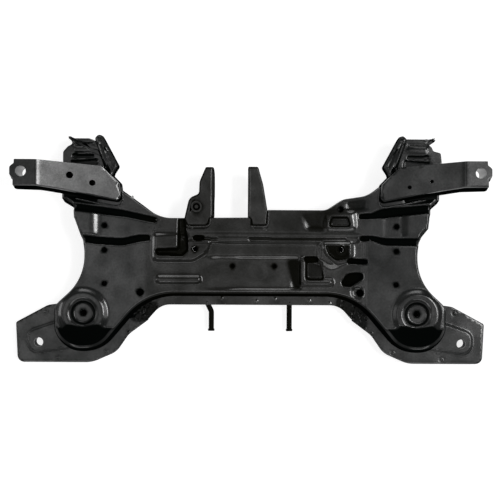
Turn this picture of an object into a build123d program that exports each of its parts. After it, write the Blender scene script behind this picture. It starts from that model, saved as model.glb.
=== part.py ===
from build123d import *
import os
from math import acos, dist, hypot, sin, tan

# Crossmember of a car's front axle, in mm.
# X points to the right seen from above with the front on top, Y to the front, Z up.
# The origin is the middle of the plan at the level of the tray's underside.

# Sheet metal
sheet = 2.5
plate = 3.5
wall_lean = 0.5
groove_lean = 0.25

# Levels
flange_top = 24.0
deck_top = 66.0
basin_top = 61.0
trough_top = 59.0
floor_top = 56.5
slot_floor = 57.0
pad_top = 68.0
cup_top = 71.0
groove_floor = 58.0
hollow_floor = 51.0
arm_tip_top = 150.0
arm_tip_depth = 36.0
arm_root_top = 80.0

# Edge roll of the upper panel, as pairs of height below the deck and inset
edge_roll = [(42.0, 0.0), (16.0, 4.0), (7.5, 6.5), (2.5, 10.0), (0.0, 15.0)]

# Slope behind each cup, as y and height of its top and its foot
slope_top = (-150.0, 68.0)
slope_foot = (-191.0, 31.0)

# Fasteners
steering_hole = 12.0
stabiliser_hole = 10.5
cup_hole = 13.0
centre_hole = 8.6
body_hole = 20.0
rear_body_hole = 18.0
roll_hole = 12.5
arm_bolt_hole = 14.5
rod_thickness = 10.5

# Weld nuts: width, hole and height
steering_nut = (22.0, 10.5, 20.0)
cup_nut = (27.0, 11.5, 16.0)
stabiliser_nut = (17.0, 8.5, 10.0)
centre_nut = (15.0, 6.8, 9.0)

# Places of the fasteners, left side first
steering_left = (-108.0, 1.5)
steering_right = (177.0, 1.5)
stabiliser_places = [(284.0, 46.5), (284.0, -1.5)]
cup_place = (325.0, -124.0)
centre_places = [(-35.0, -31.5), (47.0, -31.5)]
arm_tip_place = (429.0, 145.0)
rear_body_place = (418.0, -184.0)
roll_bolt_place = (127.0, 33.0)
arm_bolt_place = (338.0, 30.0)
collar_place = (-105.0, 84.0)

# Outlines: x, y and corner radius, anticlockwise
panel_side = [
    (-371.5, 157.0, 5.0), (-371.5, 94.5, 9.0), (-345.5, 81.0, 18.0), (-343.5, 64.0, 30.0),
    (-307.0, -42.0, 101.5), (-386.5, -112.0, 12.0), (-386.5, -203.0, 53.0),
    (-294.0, -203.0, 73.0), (-200.0, -92.0, 113.0),
]
panel_front_right = [
    (283.8, 155.7, 5.0), (260.5, 127.5, 30.0), (225.4, 107.0, 60.0), (177.6, 98.3, 30.0),
    (147.4, 75.1, 30.0), (32.0, 75.1, 22.0), (14.0, 60.0, 4.0),
]
panel_front_left = [(-180.0, 60.0, 78.0), (-282.5, 155.7, 5.0)]

flange_side = [
    (-371.5, 157.0, 5.0), (-371.5, 94.5, 9.0), (-345.5, 81.0, 18.0), (-343.5, 64.0, 30.0),
    (-307.0, -42.0, 101.5), (-386.5, -112.0, 12.0), (-386.5, -203.0, 53.0),
    (-294.0, -203.0, 73.0), (-226.0, -122.0, 4.0), (-202.0, -138.0, 4.0), (-176.0, -109.0, 40.0),
]
tray_side = [
    (-352.0, 138.0, 10.0), (-352.0, 104.0, 12.0), (-322.0, 58.0, 30.0), (-284.0, -42.0, 90.0),
    (-364.0, -122.0, 18.0), (-364.0, -181.0, 36.0), (-304.0, -181.0, 50.0), (-190.0, -70.0, 90.0),
]
tray_front_right = [(266.0, 138.0, 10.0), (222.0, 88.0, 60.0), (120.0, 56.0, 50.0)]
tray_front_left = [(-160.0, 42.0, 60.0), (-266.0, 138.0, 10.0)]

corner_plate_outline = [
    (-384.0, -108.5, 3.0), (-400.0, -110.5, 30.0), (-464.0, -145.0, 6.0), (-460.0, -224.0, 14.0),
    (-312.0, -224.0, 60.0), (-264.0, -203.0, 40.0), (-240.0, -168.0, 40.0), (-201.0, -139.0, 2.0),
    (-213.0, -92.0, 2.0), (-262.0, -126.0, 60.0), (-292.0, -178.0, 50.0), (-366.0, -178.0, 40.0),
    (-366.0, -108.5, 3.0),
]
tongue_outline = [
    (-387.0, -143.0, 3.0), (-441.0, -163.0, 20.0), (-438.0, -207.0, 20.0), (-356.0, -196.0, 3.0),
    (-380.0, -160.0, 3.0),
]

# The arm's tip, its bend and its width follow the body bolt
tip_x, tip_y = -arm_tip_place[0], arm_tip_place[1]
tip_reach = 28.0
tip_half = 25.0
bend_x = tip_x + 29.0
arm_outline = [
    (tip_x - 15.0, tip_y + tip_half - 2, 6.0), (tip_x - tip_reach, tip_y, 26.0),
    (tip_x - 17.0, tip_y - tip_half - 1, 6.0), (bend_x - 2.0, tip_y - tip_half - 1, 40.0),
    (-360.0, 112.0, 60.0), (-256.0, 92.5, 6.0), (-250.0, 100.0, 10.0), (-253.0, 127.0, 8.0),
    (-285.0, 160.0, 14.0), (bend_x - 2.0, tip_y + tip_half - 2, 60.0),
]

# Pressed forms of the upper panel
basin_outline = [
    (-216.0, 29.0, 12.0), (-215.0, -44.0, 20.0), (-202.0, -66.0, 20.0), (-201.0, -150.0, 3.0),
    (222.0, -150.0, 3.0), (222.0, 29.0, 12.0),
]
floor_outline = [(-63.0, -14.0, 5.0), (-63.0, -77.0, 8.0), (98.0, -77.0, 8.0), (98.0, -14.0, 5.0)]
trough_outline = [(-57.0, 14.0, 3.0), (-57.0, -18.0, 3.0), (132.0, -18.0, 3.0), (132.0, 14.0, 3.0)]
slot_outline = [(-3.0, 25.5, 2.0), (-3.0, 17.5, 2.0), (187.0, 17.5, 2.0), (187.0, 25.5, 2.0)]
ribs = [
    ([(-188.0, 30.0, 6.0), (-188.0, -34.0, 10.0), (-104.0, -36.0, 20.0), (-64.0, -14.0, 16.0),
      (-64.0, 22.0, 6.0)], pad_top),
    ([(132.0, 20.0, 8.0), (130.0, -22.0, 20.0), (160.0, -40.0, 16.0), (203.0, -20.0, 6.0),
      (203.0, 20.0, 6.0)], pad_top),
    ([(-186.0, -48.0, 5.0), (-186.0, -67.0, 5.0), (-93.0, -67.0, 8.5), (-93.0, -48.0, 8.5)], deck_top),
    ([(96.0, -16.0, 4.0), (96.0, -70.0, 5.0), (166.0, -70.0, 5.0), (166.0, -58.0, 4.0),
      (112.0, -58.0, 3.0), (112.0, -16.0, 4.0)], deck_top),
]
pockets = [
    ([(-139.0, 45.0, 3.0), (-139.0, 2.0, 4.0), (-186.0, 1.0, 3.0), (-186.0, -9.0, 3.0),
      (-132.0, -9.0, 8.0), (-123.0, 0.0, 8.0), (-123.0, 45.0, 3.0)], hollow_floor + 3),
    ([(-324.0, 28.0, 3.0), (-326.0, 18.0, 3.0), (-300.0, 12.0, 30.0), (-250.0, 9.0, 30.0),
      (-214.0, 17.0, 20.0), (-196.0, 18.0, 3.0), (-196.0, 28.0, 3.0), (-214.0, 28.0, 20.0),
      (-250.0, 20.0, 30.0), (-300.0, 23.0, 30.0)], groove_floor),
    ([(-349.0, 79.5, 3.0), (-263.0, 67.0, 60.0), (-243.0, 65.0, 40.0), (-184.0, 53.0, 3.0),
      (-182.0, 60.5, 3.0), (-214.0, 67.5, 40.0), (-254.0, 76.0, 60.0), (-349.0, 89.5, 3.0)], groove_floor),
    ([(213.0, 62.0, 2.5), (262.0, 65.0, 40.0), (292.0, 69.5, 60.0), (351.0, 77.5, 3.0),
      (353.0, 89.5, 3.0), (310.0, 84.5, 60.0), (268.0, 81.5, 20.0), (252.0, 78.5, 20.0),
      (237.0, 71.0, 12.0), (213.0, 69.5, 2.5)], groove_floor),
    ([(224.0, 30.0, 3.0), (240.0, 18.0, 8.0), (262.0, 12.0, 20.0), (326.0, 11.0, 3.0),
      (326.0, 23.0, 3.0), (260.0, 24.0, 20.0)], groove_floor),
    ([(151.0, 71.0, 5.0), (145.0, 44.0, 5.0), (201.0, 44.0, 5.0), (197.0, 71.0, 5.0)], hollow_floor),
    ([(113.0, -20.0, 4.0), (113.0, -56.0, 4.0), (146.0, -56.0, 4.0), (146.0, -44.0, 4.0),
      (134.0, -20.0, 4.0)], hollow_floor),
    ([(190.0, -16.0, 3.0), (190.0, -25.0, 3.0), (219.0, -25.0, 3.0), (219.0, -16.0, 3.0)], groove_floor),
    ([(174.0, -62.0, 5.0), (204.0, -72.0, 6.0), (218.0, -60.0, 5.0), (184.0, -44.0, 5.0)], hollow_floor),
]
swages = [
    [(-150.0, -58.0, 20.0), (150.0, -58.0, 20.0), (130.0, 20.0, 30.0), (-130.0, 20.0, 30.0)],
]
swage_rise = 6.0
access_holes = [
    (steering_left, 34.0), (steering_right, 34.0), ((-325.0, -124.0), 40.0), ((325.0, -124.0), 40.0),
    ((-284.0, 24.0), 50.0), ((284.0, 24.0), 50.0), ((0.0, -20.0), 44.0),
]
tongue_rise = 4.0
rear_sleeve_foot = 4.0
rear_sleeve_width = 28.0

# Brackets, supports and arms, left side
bracket_top = 62.0
bracket_front = 217.0
bracket_rear = 158.0
bracket_outline = [
    (-303.0, 217.0, 6.0), (-348.0, 217.0, 3.0), (-348.0, 206.0, 8.0), (-366.0, 193.0, 14.0),
    (-366.0, 150.0, 3.0), (-284.0, 150.0, 3.0), (-284.0, 166.0, 8.0), (-298.0, 209.0, 6.0),
]
ear_outline = [
    (-300.5, bracket_top, 3.0), (-300.5, 16.0, 10.0), (-326.0, 3.0, 20.0), (-356.0, 3.0, 24.0),
    (-366.0, 30.0, 30.0), (-366.0, bracket_top, 8.0),
]
inboard_wall_outline = [
    (-304.0, 217.0, 1.0), (-301.6, 208.0, 6.0), (-287.8, 165.0, 8.0), (-287.8, 150.0, 1.0),
    (-284.0, 150.0, 1.0), (-284.0, 166.0, 8.0), (-298.0, 209.0, 6.0), (-300.0, 217.0, 1.0),
]
curl_outline = [
    (-345.0, 217.2, 1.0), (-352.0, 218.2, 6.0), (-358.0, 224.4, 1.0), (-360.5, 222.4, 1.0),
    (-354.0, 214.8, 6.0), (-345.0, 213.7, 1.0),
]
support_outline = [
    (-298.0, 216.0, 3.0), (-294.0, 223.0, 5.0), (-284.0, 216.0, 8.0), (-254.0, 162.0, 5.0),
    (-262.0, 126.0, 2.0), (-284.0, 146.0, 2.0), (-284.0, 166.0, 8.0), (-298.0, 209.0, 6.0),
]
support_top = 66.0
support_foot = 26.0
arm_foot = 40.0
arm_root_x = -250.0
under_x = -362.0
closing_x = -372.0
arm_draft = 0.07
arm_holes_left = [((-342.0, 140.0), 13.0), ((-302.0, 126.5), 11.5)]
arm_holes_right = [((342.0, 131.0), 7.0), ((303.0, 121.0), 7.5)]
arm_bolt_left = (-arm_bolt_place[0], arm_bolt_place[1])
sleeve_width = 30.0
sleeve_length = 60.0

# Roll stop bracket
roll_flange_top = 66.0
roll_wall_left = -75.0
roll_wall_right = -5.0
roll_flange_left = [
    (-87.0, 161.0, 3.0), (-98.0, 133.0, 20.0), (-99.0, 108.0, 8.0), (-118.0, 100.0, 16.0),
    (-129.0, 60.0, 8.0), (-122.0, 44.0, 3.0), (-71.5, 44.0, 1.0), (-71.5, 161.0, 3.0),
]
roll_flange_right = [
    (-5.0, 161.0, 3.0), (-5.0, 44.0, 1.0), (30.0, 44.0, 3.0), (33.0, 76.0, 10.0),
    (23.0, 127.0, 40.0), (13.0, 161.0, 4.0),
]
roll_wall_outline = [
    (161.0, roll_flange_top, 3.0), (44.0, roll_flange_top, 1.0), (44.0, 50.0, 1.0), (66.0, 26.0, 3.0),
    (96.0, 20.0, 20.0), (108.0, 4.0, 14.0), (146.0, 4.0, 22.0), (156.0, 40.0, 30.0),
]
collar_hole = 9.4
collar_width = 21.0
collar_height = 7.0
nut_width = 24.0
nut_height = 9.0

# Hanger rods and bulkheads
rod_path_left = [(-90.0, -80.0), (-86.0, -104.0), (-77.0, -122.0), (-77.0, -157.0)]
rod_path_right = [(78.0, -80.0), (78.0, -157.0)]
rod_bend = 14.0
rod_head = 13.0
rod_head_length = 4.0
bulkhead_place = 232.0
plain_holes = [
    ((-283.5, -66.5), 9.6), ((283.5, -66.5), 9.6), ((-214.0, -83.0), 14.0), ((214.0, -83.0), 13.0),
    ((175.0, 80.0), 11.0),
]
cup_ring = 50.0
cup_plateau = 41.0
cup_rim = 27.5
cup_well = 17.5
cup_depth = 11.0


def area(points):
    return sum(points[i - 1][0] * points[i][1] - points[i][0] * points[i - 1][1]
               for i in range(len(points))) / 2


def shifted(points, out):
    """The same outline with every side moved outward by out."""
    side = 1 if area(points) > 0 else -1
    moved = []
    for i, (x, y, r) in enumerate(points):
        a, b = points[i - 1], points[(i + 1) % len(points)]
        u, v = (x - a[0], y - a[1]), (b[0] - x, b[1] - y)
        lu, lv = hypot(*u), hypot(*v)
        nu = (side * u[1] / lu, -side * u[0] / lu)
        nv = (side * v[1] / lv, -side * v[0] / lv)
        k = 1 + nu[0] * nv[0] + nu[1] * nv[1]
        turn = side * (u[0] * v[1] - u[1] * v[0])
        radius = r + out if turn > 0 else r - out
        moved.append((x + out * (nu[0] + nv[0]) / k, y + out * (nu[1] + nv[1]) / k, max(radius, 0.6)))
    return moved


def section(points, z, out=0.0):
    """Flat face at height z, bounded by the outline with its rounded corners."""
    corners = []
    moved = shifted(points, out)
    for i, (x, y, r) in enumerate(moved):
        a, b = moved[i - 1], moved[(i + 1) % len(moved)]
        la, lb = dist((x, y), a[:2]), dist((x, y), b[:2])
        u = ((a[0] - x) / la, (a[1] - y) / la)
        v = ((b[0] - x) / lb, (b[1] - y) / lb)
        half = acos(max(-1.0, min(1.0, u[0] * v[0] + u[1] * v[1]))) / 2
        w = (u[0] + v[0], u[1] + v[1])
        lw = hypot(*w)
        w = (w[0] / lw, w[1] / lw)
        t = r / tan(half)
        far = r / sin(half) - r
        corners.append(((x + u[0] * t, y + u[1] * t, z), (x + w[0] * far, y + w[1] * far, z),
                        (x + v[0] * t, y + v[1] * t, z)))
    edges = []
    for i, (start, middle, end) in enumerate(corners):
        follow = corners[(i + 1) % len(corners)][0]
        edges.append(Edge.make_three_point_arc(start, middle, end))
        if dist(end, follow) > 1e-6:
            edges.append(Edge.make_line(end, follow))
    return Face(Wire(edges))


def stacked(points, steps):
    """Solid with straight walls between sections, given as height and outward shift."""
    return loft([section(points, z, out) for z, out in steps], ruled=True)


def slab(points, low, high, out=0.0):
    return stacked(points, [(low, out), (high, out)])


def mirrored_points(points):
    return [(-x, y, r) for x, y, r in reversed(points)]


def mirrored(shape):
    return mirror(shape, about=Plane.YZ)


def thinned(steps, thickness):
    """Profile of wall height and shift, moved inward by the sheet thickness."""
    moved = []
    for i, (z, out) in enumerate(steps):
        if i + 1 < len(steps):
            dz, dout = steps[i + 1][0] - z, steps[i + 1][1] - out
        else:
            dz, dout = 0.0, -1.0
        long = hypot(dz, dout)
        ahead = (-dz / long, dout / long)
        if i == 0:
            moved.append((z, out + thickness / ahead[0]))
            back = ahead
            continue
        k = 1 + back[0] * ahead[0] + back[1] * ahead[1]
        moved.append((z + thickness * (back[1] + ahead[1]) / k, out + thickness * (back[0] + ahead[0]) / k))
        back = ahead
    return moved


def raised(points, low, top, skin=0.0):
    """Drafted form standing on low; skin gives the form of the sheet's underside."""
    grow = -skin * hypot(1, wall_lean)
    return stacked(points, [(low - 3 * sheet - skin, grow + wall_lean * (3 * sheet + skin)),
                            (top - skin, grow - wall_lean * (top - skin - low))])


def sunk(points, rim, bottom, skin=0.0, lean=wall_lean):
    """Drafted form that takes a pocket out of the sheet."""
    grow = skin * hypot(1, lean)
    return stacked(points, [(bottom - skin, grow - lean * (rim - bottom + skin)),
                            (rim + 3 * sheet, grow + lean * 3 * sheet)])


def pin(place, low, high, width):
    return Pos(place[0], place[1], (low + high) / 2) * Cylinder(width / 2, high - low)


def round_form(place, low, wide, high, narrow):
    return Pos(place[0], place[1], (low + high) / 2) * Cone(wide, narrow, high - low)


def ring(place, low, high, wide, hole):
    return pin(place, low, high, wide) - pin(place, low - 1, high + 1, hole)


# Upper panel: the underside is the same form, one sheet thickness further in
panel_outline = panel_side + mirrored_points(panel_side) + panel_front_right + panel_front_left
cup_places = [(-cup_place[0], cup_place[1]), cup_place]


def panel_form(skin=0.0):
    steps = [(deck_top - drop, -inset) for drop, inset in edge_roll]
    if skin:
        steps = thinned(steps, skin)
    form = stacked(panel_outline, steps)
    form -= sunk(basin_outline, deck_top, basin_top, skin)
    form -= sunk(trough_outline, basin_top, trough_top, skin)
    form -= sunk(floor_outline, basin_top, floor_top, skin)
    form -= sunk(slot_outline, basin_top, slot_floor, skin)
    for points, top in ribs:
        form += raised(points, basin_top, top, skin)
    for points, bottom in pockets:
        form -= sunk(points, deck_top, bottom, skin, groove_lean)
    for place in cup_places:
        form += round_form(place, deck_top - 4 - skin, cup_ring - 0.7 * skin,
                           cup_top - skin, cup_plateau - 0.7 * skin)
        form -= round_form(place, cup_top - cup_depth - skin, cup_well + 0.6 * skin,
                           cup_top + 2, cup_rim + 0.6 * skin + 2)
    for side in (-1, 1):
        form -= behind_cup(side, skin)
    return form


def behind_cup(side, skin):
    """Space above the slope behind a cup; skin moves it square to the slope."""
    run, drop = slope_foot[0] - slope_top[0], slope_foot[1] - slope_top[1]
    long = hypot(run, drop)
    y, z = slope_top[0] - skin * drop / long, slope_top[1] + skin * run / long
    points = [(y + run * 2, z + drop * 2, 1.0), (y - run, z - drop, 1.0), (y + run * 3, z - drop, 1.0)]
    middle = cup_place[0] - 20.0
    return wall_across(points, side * middle - 105.0, side * middle + 105.0)


def left_and_right(shape):
    return shape, mirrored(shape)


def tray_form(skin=0.0):
    steps = [(-flange_top, 0.0), (-5.0, -7.0), (0.0, -13.0)]
    if skin:
        steps = thinned(steps, skin)
    form = stacked(tray_outline, [(-z, out) for z, out in reversed(steps)])
    grow = skin * hypot(1, wall_lean)
    for points in swages:
        form -= stacked(points, [(-3 * sheet, grow + wall_lean * 3 * sheet),
                                 (swage_rise + skin, grow - wall_lean * (swage_rise + skin))])
    return form


def across(place, low, high, width):
    """Pin along X through a place given as y and z."""
    x = (low + high) / 2
    return Pos(x, place[0], place[1]) * Rot(0, 90, 0) * Cylinder(width / 2, high - low)


def along(place, low, high, width):
    """Pin along Y through a place given as x and z."""
    y = (low + high) / 2
    return Pos(place[0], y, place[1]) * Rot(90, 0, 0) * Cylinder(width / 2, high - low)


def wall_across(points, low, high):
    """Upright plate between two values of X; its outline is given in y and z."""
    face = Plane.YZ.offset(low) * section(points, 0.0)
    return extrude(face, amount=high - low, dir=(1, 0, 0))


def wall_along(points, low, high):
    """Upright plate between two values of Y; its outline is given in x and z."""
    face = Plane(origin=(0, low, 0), x_dir=(1, 0, 0), z_dir=(0, -1, 0)) * section(points, 0.0)
    return extrude(face, amount=high - low, dir=(0, 1, 0))


outer_form = panel_form()
inner_form = panel_form(sheet)
upper_panel = outer_form - inner_form

# Lower panel: a tray with its flange under the foot of the upper panel
tray_outline = tray_side + mirrored_points(tray_side) + tray_front_right + tray_front_left
flange_outline = flange_side + mirrored_points(flange_side) + panel_front_right + panel_front_left
inner_tray = tray_form(sheet)
lower_panel = slab(flange_outline, flange_top - sheet, flange_top) + tray_form()
lower_panel -= inner_tray
for place, wide in access_holes:
    lower_panel -= pin(place, -1, 12, wide)

# Corner plates: they lie on the lower flange and the upper panel stands on them
corner_top = flange_top + sheet
tongue_top = corner_top + tongue_rise
corner_blank = slab(corner_plate_outline, flange_top, corner_top)
tongue_walls = [(flange_top, wall_lean * sheet), (tongue_top, -wall_lean * tongue_rise)]
corner_blank += stacked(tongue_outline, tongue_walls)
tongue_hollow = [(z - sheet, out - sheet * hypot(1, wall_lean)) for z, out in tongue_walls]
rear_place = (-rear_body_place[0], rear_body_place[1])
corner_plate = corner_blank - stacked(tongue_outline, tongue_hollow)
corner_plate -= pin(rear_place, 0, 60, rear_body_hole)
corner_plates = left_and_right(corner_plate)
for blank in left_and_right(corner_blank):
    upper_panel -= blank
rear_sleeve = ring(rear_place, rear_sleeve_foot, tongue_top - sheet, rear_sleeve_width, rear_body_hole)
rear_sleeves = left_and_right(rear_sleeve)

# Control arm brackets in front of the panel, one pressing each
bracket_web = slab(bracket_outline, bracket_top - plate, bracket_top)
bracket_face = bracket_front - plate
control_bracket = bracket_web + wall_along(ear_outline, bracket_face, bracket_front)
control_bracket += wall_along(ear_outline, bracket_rear, bracket_rear + plate)
control_bracket += slab(inboard_wall_outline, flange_top, bracket_top)
control_bracket += slab(curl_outline, 30.0, bracket_top)
control_bracket -= along(arm_bolt_left, bracket_rear - 20, bracket_front + 20, arm_bolt_hole)
control_bracket -= outer_form
control_brackets = left_and_right(control_bracket)

# Supports: hollow blocks between the brackets and the panel, open below
support_blank = slab(support_outline, support_foot, support_top)
arm_support = support_blank - slab(support_outline, support_foot - 1, support_top - plate, -plate)
arm_support -= outer_form
arm_support -= control_bracket
arm_supports = left_and_right(arm_support)

# Arms: channels open below, cut to the deck, the brackets and the supports
above_all = arm_tip_top + 30.0
below_all = -30.0
beyond_all = tip_x - tip_reach - 30.0
root_x = -200.0
front_y = tip_y + 60.0
rear_y = tip_y - 85.0
arm_rise = (arm_tip_top - arm_root_top) / (arm_root_x - bend_x)
arm_walls = [(arm_foot, arm_draft * (arm_tip_top - arm_foot)), (above_all, arm_draft * (arm_tip_top - above_all))]
arm_profile = [
    (beyond_all, below_all, 2.0), (root_x, below_all, 2.0),
    (root_x, arm_root_top - arm_rise * (root_x - arm_root_x), 2.0), (bend_x, arm_tip_top, 14.0),
    (beyond_all, arm_tip_top, 2.0),
]
under_rise = (arm_tip_top - arm_tip_depth - bracket_top) / (under_x - tip_x + tip_reach)
arm_under = [
    (under_x, below_all, 2.0), (under_x, bracket_top, 2.0),
    (beyond_all, bracket_top + under_rise * (under_x - beyond_all), 2.0), (beyond_all, below_all, 2.0),
]
sheet_drop = sheet * hypot(1, arm_rise)
arm_solid = stacked(arm_outline, arm_walls) & wall_along(arm_profile, rear_y, front_y)
arm_hollow = stacked(arm_outline, [(z, out - sheet) for z, out in arm_walls])
arm_hollow &= Pos(0, 0, -sheet_drop) * wall_along(arm_profile, rear_y, front_y)
tip_place = (tip_x, tip_y)
under_space = wall_along(arm_under, rear_y, front_y)
arm_shell = arm_solid - arm_hollow
arm_shell -= under_space
arm_shell -= outer_form
arm_shell -= slab(bracket_outline, 0.0, bracket_top, plate)
arm_shell -= support_blank
arm_shell -= pin(tip_place, arm_foot, above_all, body_hole)
mount_arms = [arm_shell, mirrored(arm_shell) - outer_form]
for place, wide in arm_holes_left:
    mount_arms[0] -= pin(place, arm_foot, above_all, wide)
for place, wide in arm_holes_right:
    mount_arms[1] -= pin(place, arm_foot, above_all, wide)

# Closing plates under the arms and the sleeves at their tips
tip_under = arm_tip_top - sheet_drop
closing_plate = (Pos(0, 0, sheet_drop) * under_space - under_space) & arm_hollow
closing_plate &= Pos((beyond_all + closing_x) / 2, tip_y, 0) * Box(closing_x - beyond_all, 400, 2 * above_all)
closing_plate -= pin(tip_place, below_all, above_all, sleeve_width)
closing_plates = left_and_right(closing_plate)
arm_sleeve = ring(tip_place, tip_under - sleeve_length, tip_under, sleeve_width, body_hole)
arm_sleeves = left_and_right(arm_sleeve)

# Roll stop bracket: two ears in front of the panel, each an angle of plate
ears = []
for flange_points, x in ((roll_flange_left, roll_wall_left), (roll_flange_right, roll_wall_right)):
    ear = slab(flange_points, roll_flange_top - plate, roll_flange_top)
    ear += wall_across(roll_wall_outline, x, x + plate)
    ear -= outer_form
    ear -= across(roll_bolt_place, x - 9, x + plate + 9, roll_hole)
    ears.append(ear)
ears[0] -= pin(collar_place, 40, 90, collar_hole)
roll_collar = ring(collar_place, roll_flange_top, roll_flange_top + collar_height, collar_width, collar_hole)
roll_nut = across(roll_bolt_place, roll_wall_left - nut_height, roll_wall_left, nut_width)
roll_nut -= across(roll_bolt_place, roll_wall_left - 20, roll_wall_left + 5, roll_hole)

# Exhaust hanger rods under the rear flange
rod_height = flange_top - sheet - rod_thickness / 2


def hanger_rod(points):
    ends = [(x, y, rod_height) for x, y in points]
    path = FilletPolyline(*ends, radius=rod_bend) if len(ends) > 2 else Line(*ends)
    start = Plane(origin=path @ 0, z_dir=path % 0)
    rod = sweep(start * Circle(rod_thickness / 2), path=path)
    end = Plane(origin=path @ 1, z_dir=path % 1)
    head = extrude(end * Circle(rod_head / 2), amount=rod_head_length)
    return rod + head


hanger_rods = [hanger_rod(points) for points in (rod_path_left, rod_path_right)]

# Bulkheads between the two panels
cavity = inner_form + inner_tray
bulkheads = []
for x in (-bulkhead_place - sheet, bulkhead_place):
    upright = Pos(x + sheet / 2, 0, 40) * Box(sheet, 400, 100) & cavity
    for blank in left_and_right(corner_blank):
        upright -= blank
    bulkheads.append(upright)

# Nuts under the sheet, and the levels between which the panel's holes are cut
panel_low, panel_high = flange_top + sheet, cup_top + sheet


def weld_nut(place, under, form):
    wide, hole, tall = form
    return ring(place, under - tall, under, wide, hole)


steering_nuts = []
for place in (steering_left, steering_right):
    upper_panel -= pin(place, panel_low, panel_high, steering_hole)
    steering_nuts.append(weld_nut(place, pad_top - sheet, steering_nut))
cup_nuts = []
for place in cup_places:
    upper_panel -= pin(place, panel_low, panel_high, cup_hole)
    cup_nuts.append(weld_nut(place, cup_top - cup_depth - sheet, cup_nut))
stabiliser_nuts = []
for side in (-1, 1):
    group = []
    for x, y in stabiliser_places:
        upper_panel -= pin((side * x, y), panel_low, panel_high, stabiliser_hole)
        group.append(weld_nut((side * x, y), deck_top - sheet, stabiliser_nut))
    stabiliser_nuts.append(Compound(children=group))
centre_nuts = []
for place in centre_places:
    upper_panel -= pin(place, panel_low, panel_high, centre_hole)
    centre_nuts.append(weld_nut(place, floor_top - sheet, centre_nut))
for place, wide in plain_holes:
    upper_panel -= pin(place, panel_low, panel_high, wide)

pieces = {
    "upper_panel": upper_panel,
    "lower_panel": lower_panel,
    "mount_arm_left": mount_arms[0],
    "mount_arm_right": mount_arms[1],
    "arm_closing_plate_left": closing_plates[0],
    "arm_closing_plate_right": closing_plates[1],
    "arm_sleeve_left": arm_sleeves[0],
    "arm_sleeve_right": arm_sleeves[1],
    "control_arm_bracket_left": control_brackets[0],
    "control_arm_bracket_right": control_brackets[1],
    "arm_support_left": arm_supports[0],
    "arm_support_right": arm_supports[1],
    "rear_corner_plate_left": corner_plates[0],
    "rear_corner_plate_right": corner_plates[1],
    "rear_sleeve_left": rear_sleeves[0],
    "rear_sleeve_right": rear_sleeves[1],
    "roll_bracket_left": ears[0],
    "roll_bracket_right": ears[1],
    "roll_bracket_collar": roll_collar,
    "roll_bolt_nut": roll_nut,
    "hanger_rod_left": hanger_rods[0],
    "hanger_rod_right": hanger_rods[1],
    "bulkhead_left": bulkheads[0],
    "bulkhead_right": bulkheads[1],
    "steering_gear_nut_left": steering_nuts[0],
    "steering_gear_nut_right": steering_nuts[1],
    "cup_nut_left": cup_nuts[0],
    "cup_nut_right": cup_nuts[1],
    "stabiliser_nuts_left": stabiliser_nuts[0],
    "stabiliser_nuts_right": stabiliser_nuts[1],
    "centre_nuts": Compound(children=centre_nuts),
}
os.makedirs("parts", exist_ok=True)
for name, shape in pieces.items():
    box = shape.bounding_box()
    print(name, round(shape.volume), shape.is_valid, len(shape.solids()),
          [round(v, 1) for v in (*box.min, *box.max)])
    export_step(shape, "parts/" + name + ".step")
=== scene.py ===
# %% [markdown]
# This lesson dresses a welded front crossmember: two pressed sheet panels, raised arms,
# plate brackets, tubes, rods, weld seams and a satin black dip coat. The measured solids
# come in as a fixed frame. Each cell makes one piece or one finish on top of them.

# %% Load the frame
import bpy
import bmesh
import numpy as np
from math import acos, atan2, ceil, cos, dist, hypot, pi, radians, sin, tan
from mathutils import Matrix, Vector
from mathutils.geometry import delaunay_2d_cdt


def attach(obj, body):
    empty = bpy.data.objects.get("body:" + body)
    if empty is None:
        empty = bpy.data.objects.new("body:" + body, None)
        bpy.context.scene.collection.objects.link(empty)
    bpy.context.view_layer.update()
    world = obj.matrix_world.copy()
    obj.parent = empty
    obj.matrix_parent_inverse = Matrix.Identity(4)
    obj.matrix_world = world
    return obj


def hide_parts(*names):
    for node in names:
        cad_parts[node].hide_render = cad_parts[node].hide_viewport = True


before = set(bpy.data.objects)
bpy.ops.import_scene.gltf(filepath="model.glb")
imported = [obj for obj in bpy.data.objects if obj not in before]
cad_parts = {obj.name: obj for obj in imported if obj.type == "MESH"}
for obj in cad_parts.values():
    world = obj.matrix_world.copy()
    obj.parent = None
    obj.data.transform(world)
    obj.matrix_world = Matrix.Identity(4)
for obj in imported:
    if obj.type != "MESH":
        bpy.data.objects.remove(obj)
bpy.context.view_layer.update()
MM = 0.001

# %% [markdown]
# Sheet metal is one thickness everywhere, so the lesson names it once. The levels are the
# heights that the panels are pressed to, in millimetres above the underside of the tray.

# %% Sheet and levels
SHEET = 2.5
FLANGE = 24.0
FLOOR = 56.5
BASIN = 61.0
DECK = 66.0
print("levels", FLANGE, FLOOR, BASIN, DECK)

# %% [markdown]
# An outline is a list of corners, each with a rounding radius, as a press tool is drawn.
# Curve objects could hold outlines as well. Plain functions are used because they give
# the same number of points for every distance that the outline is moved out or in.


# %% Outlines with rounded corners
LEAST_RADIUS = 0.6


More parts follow.
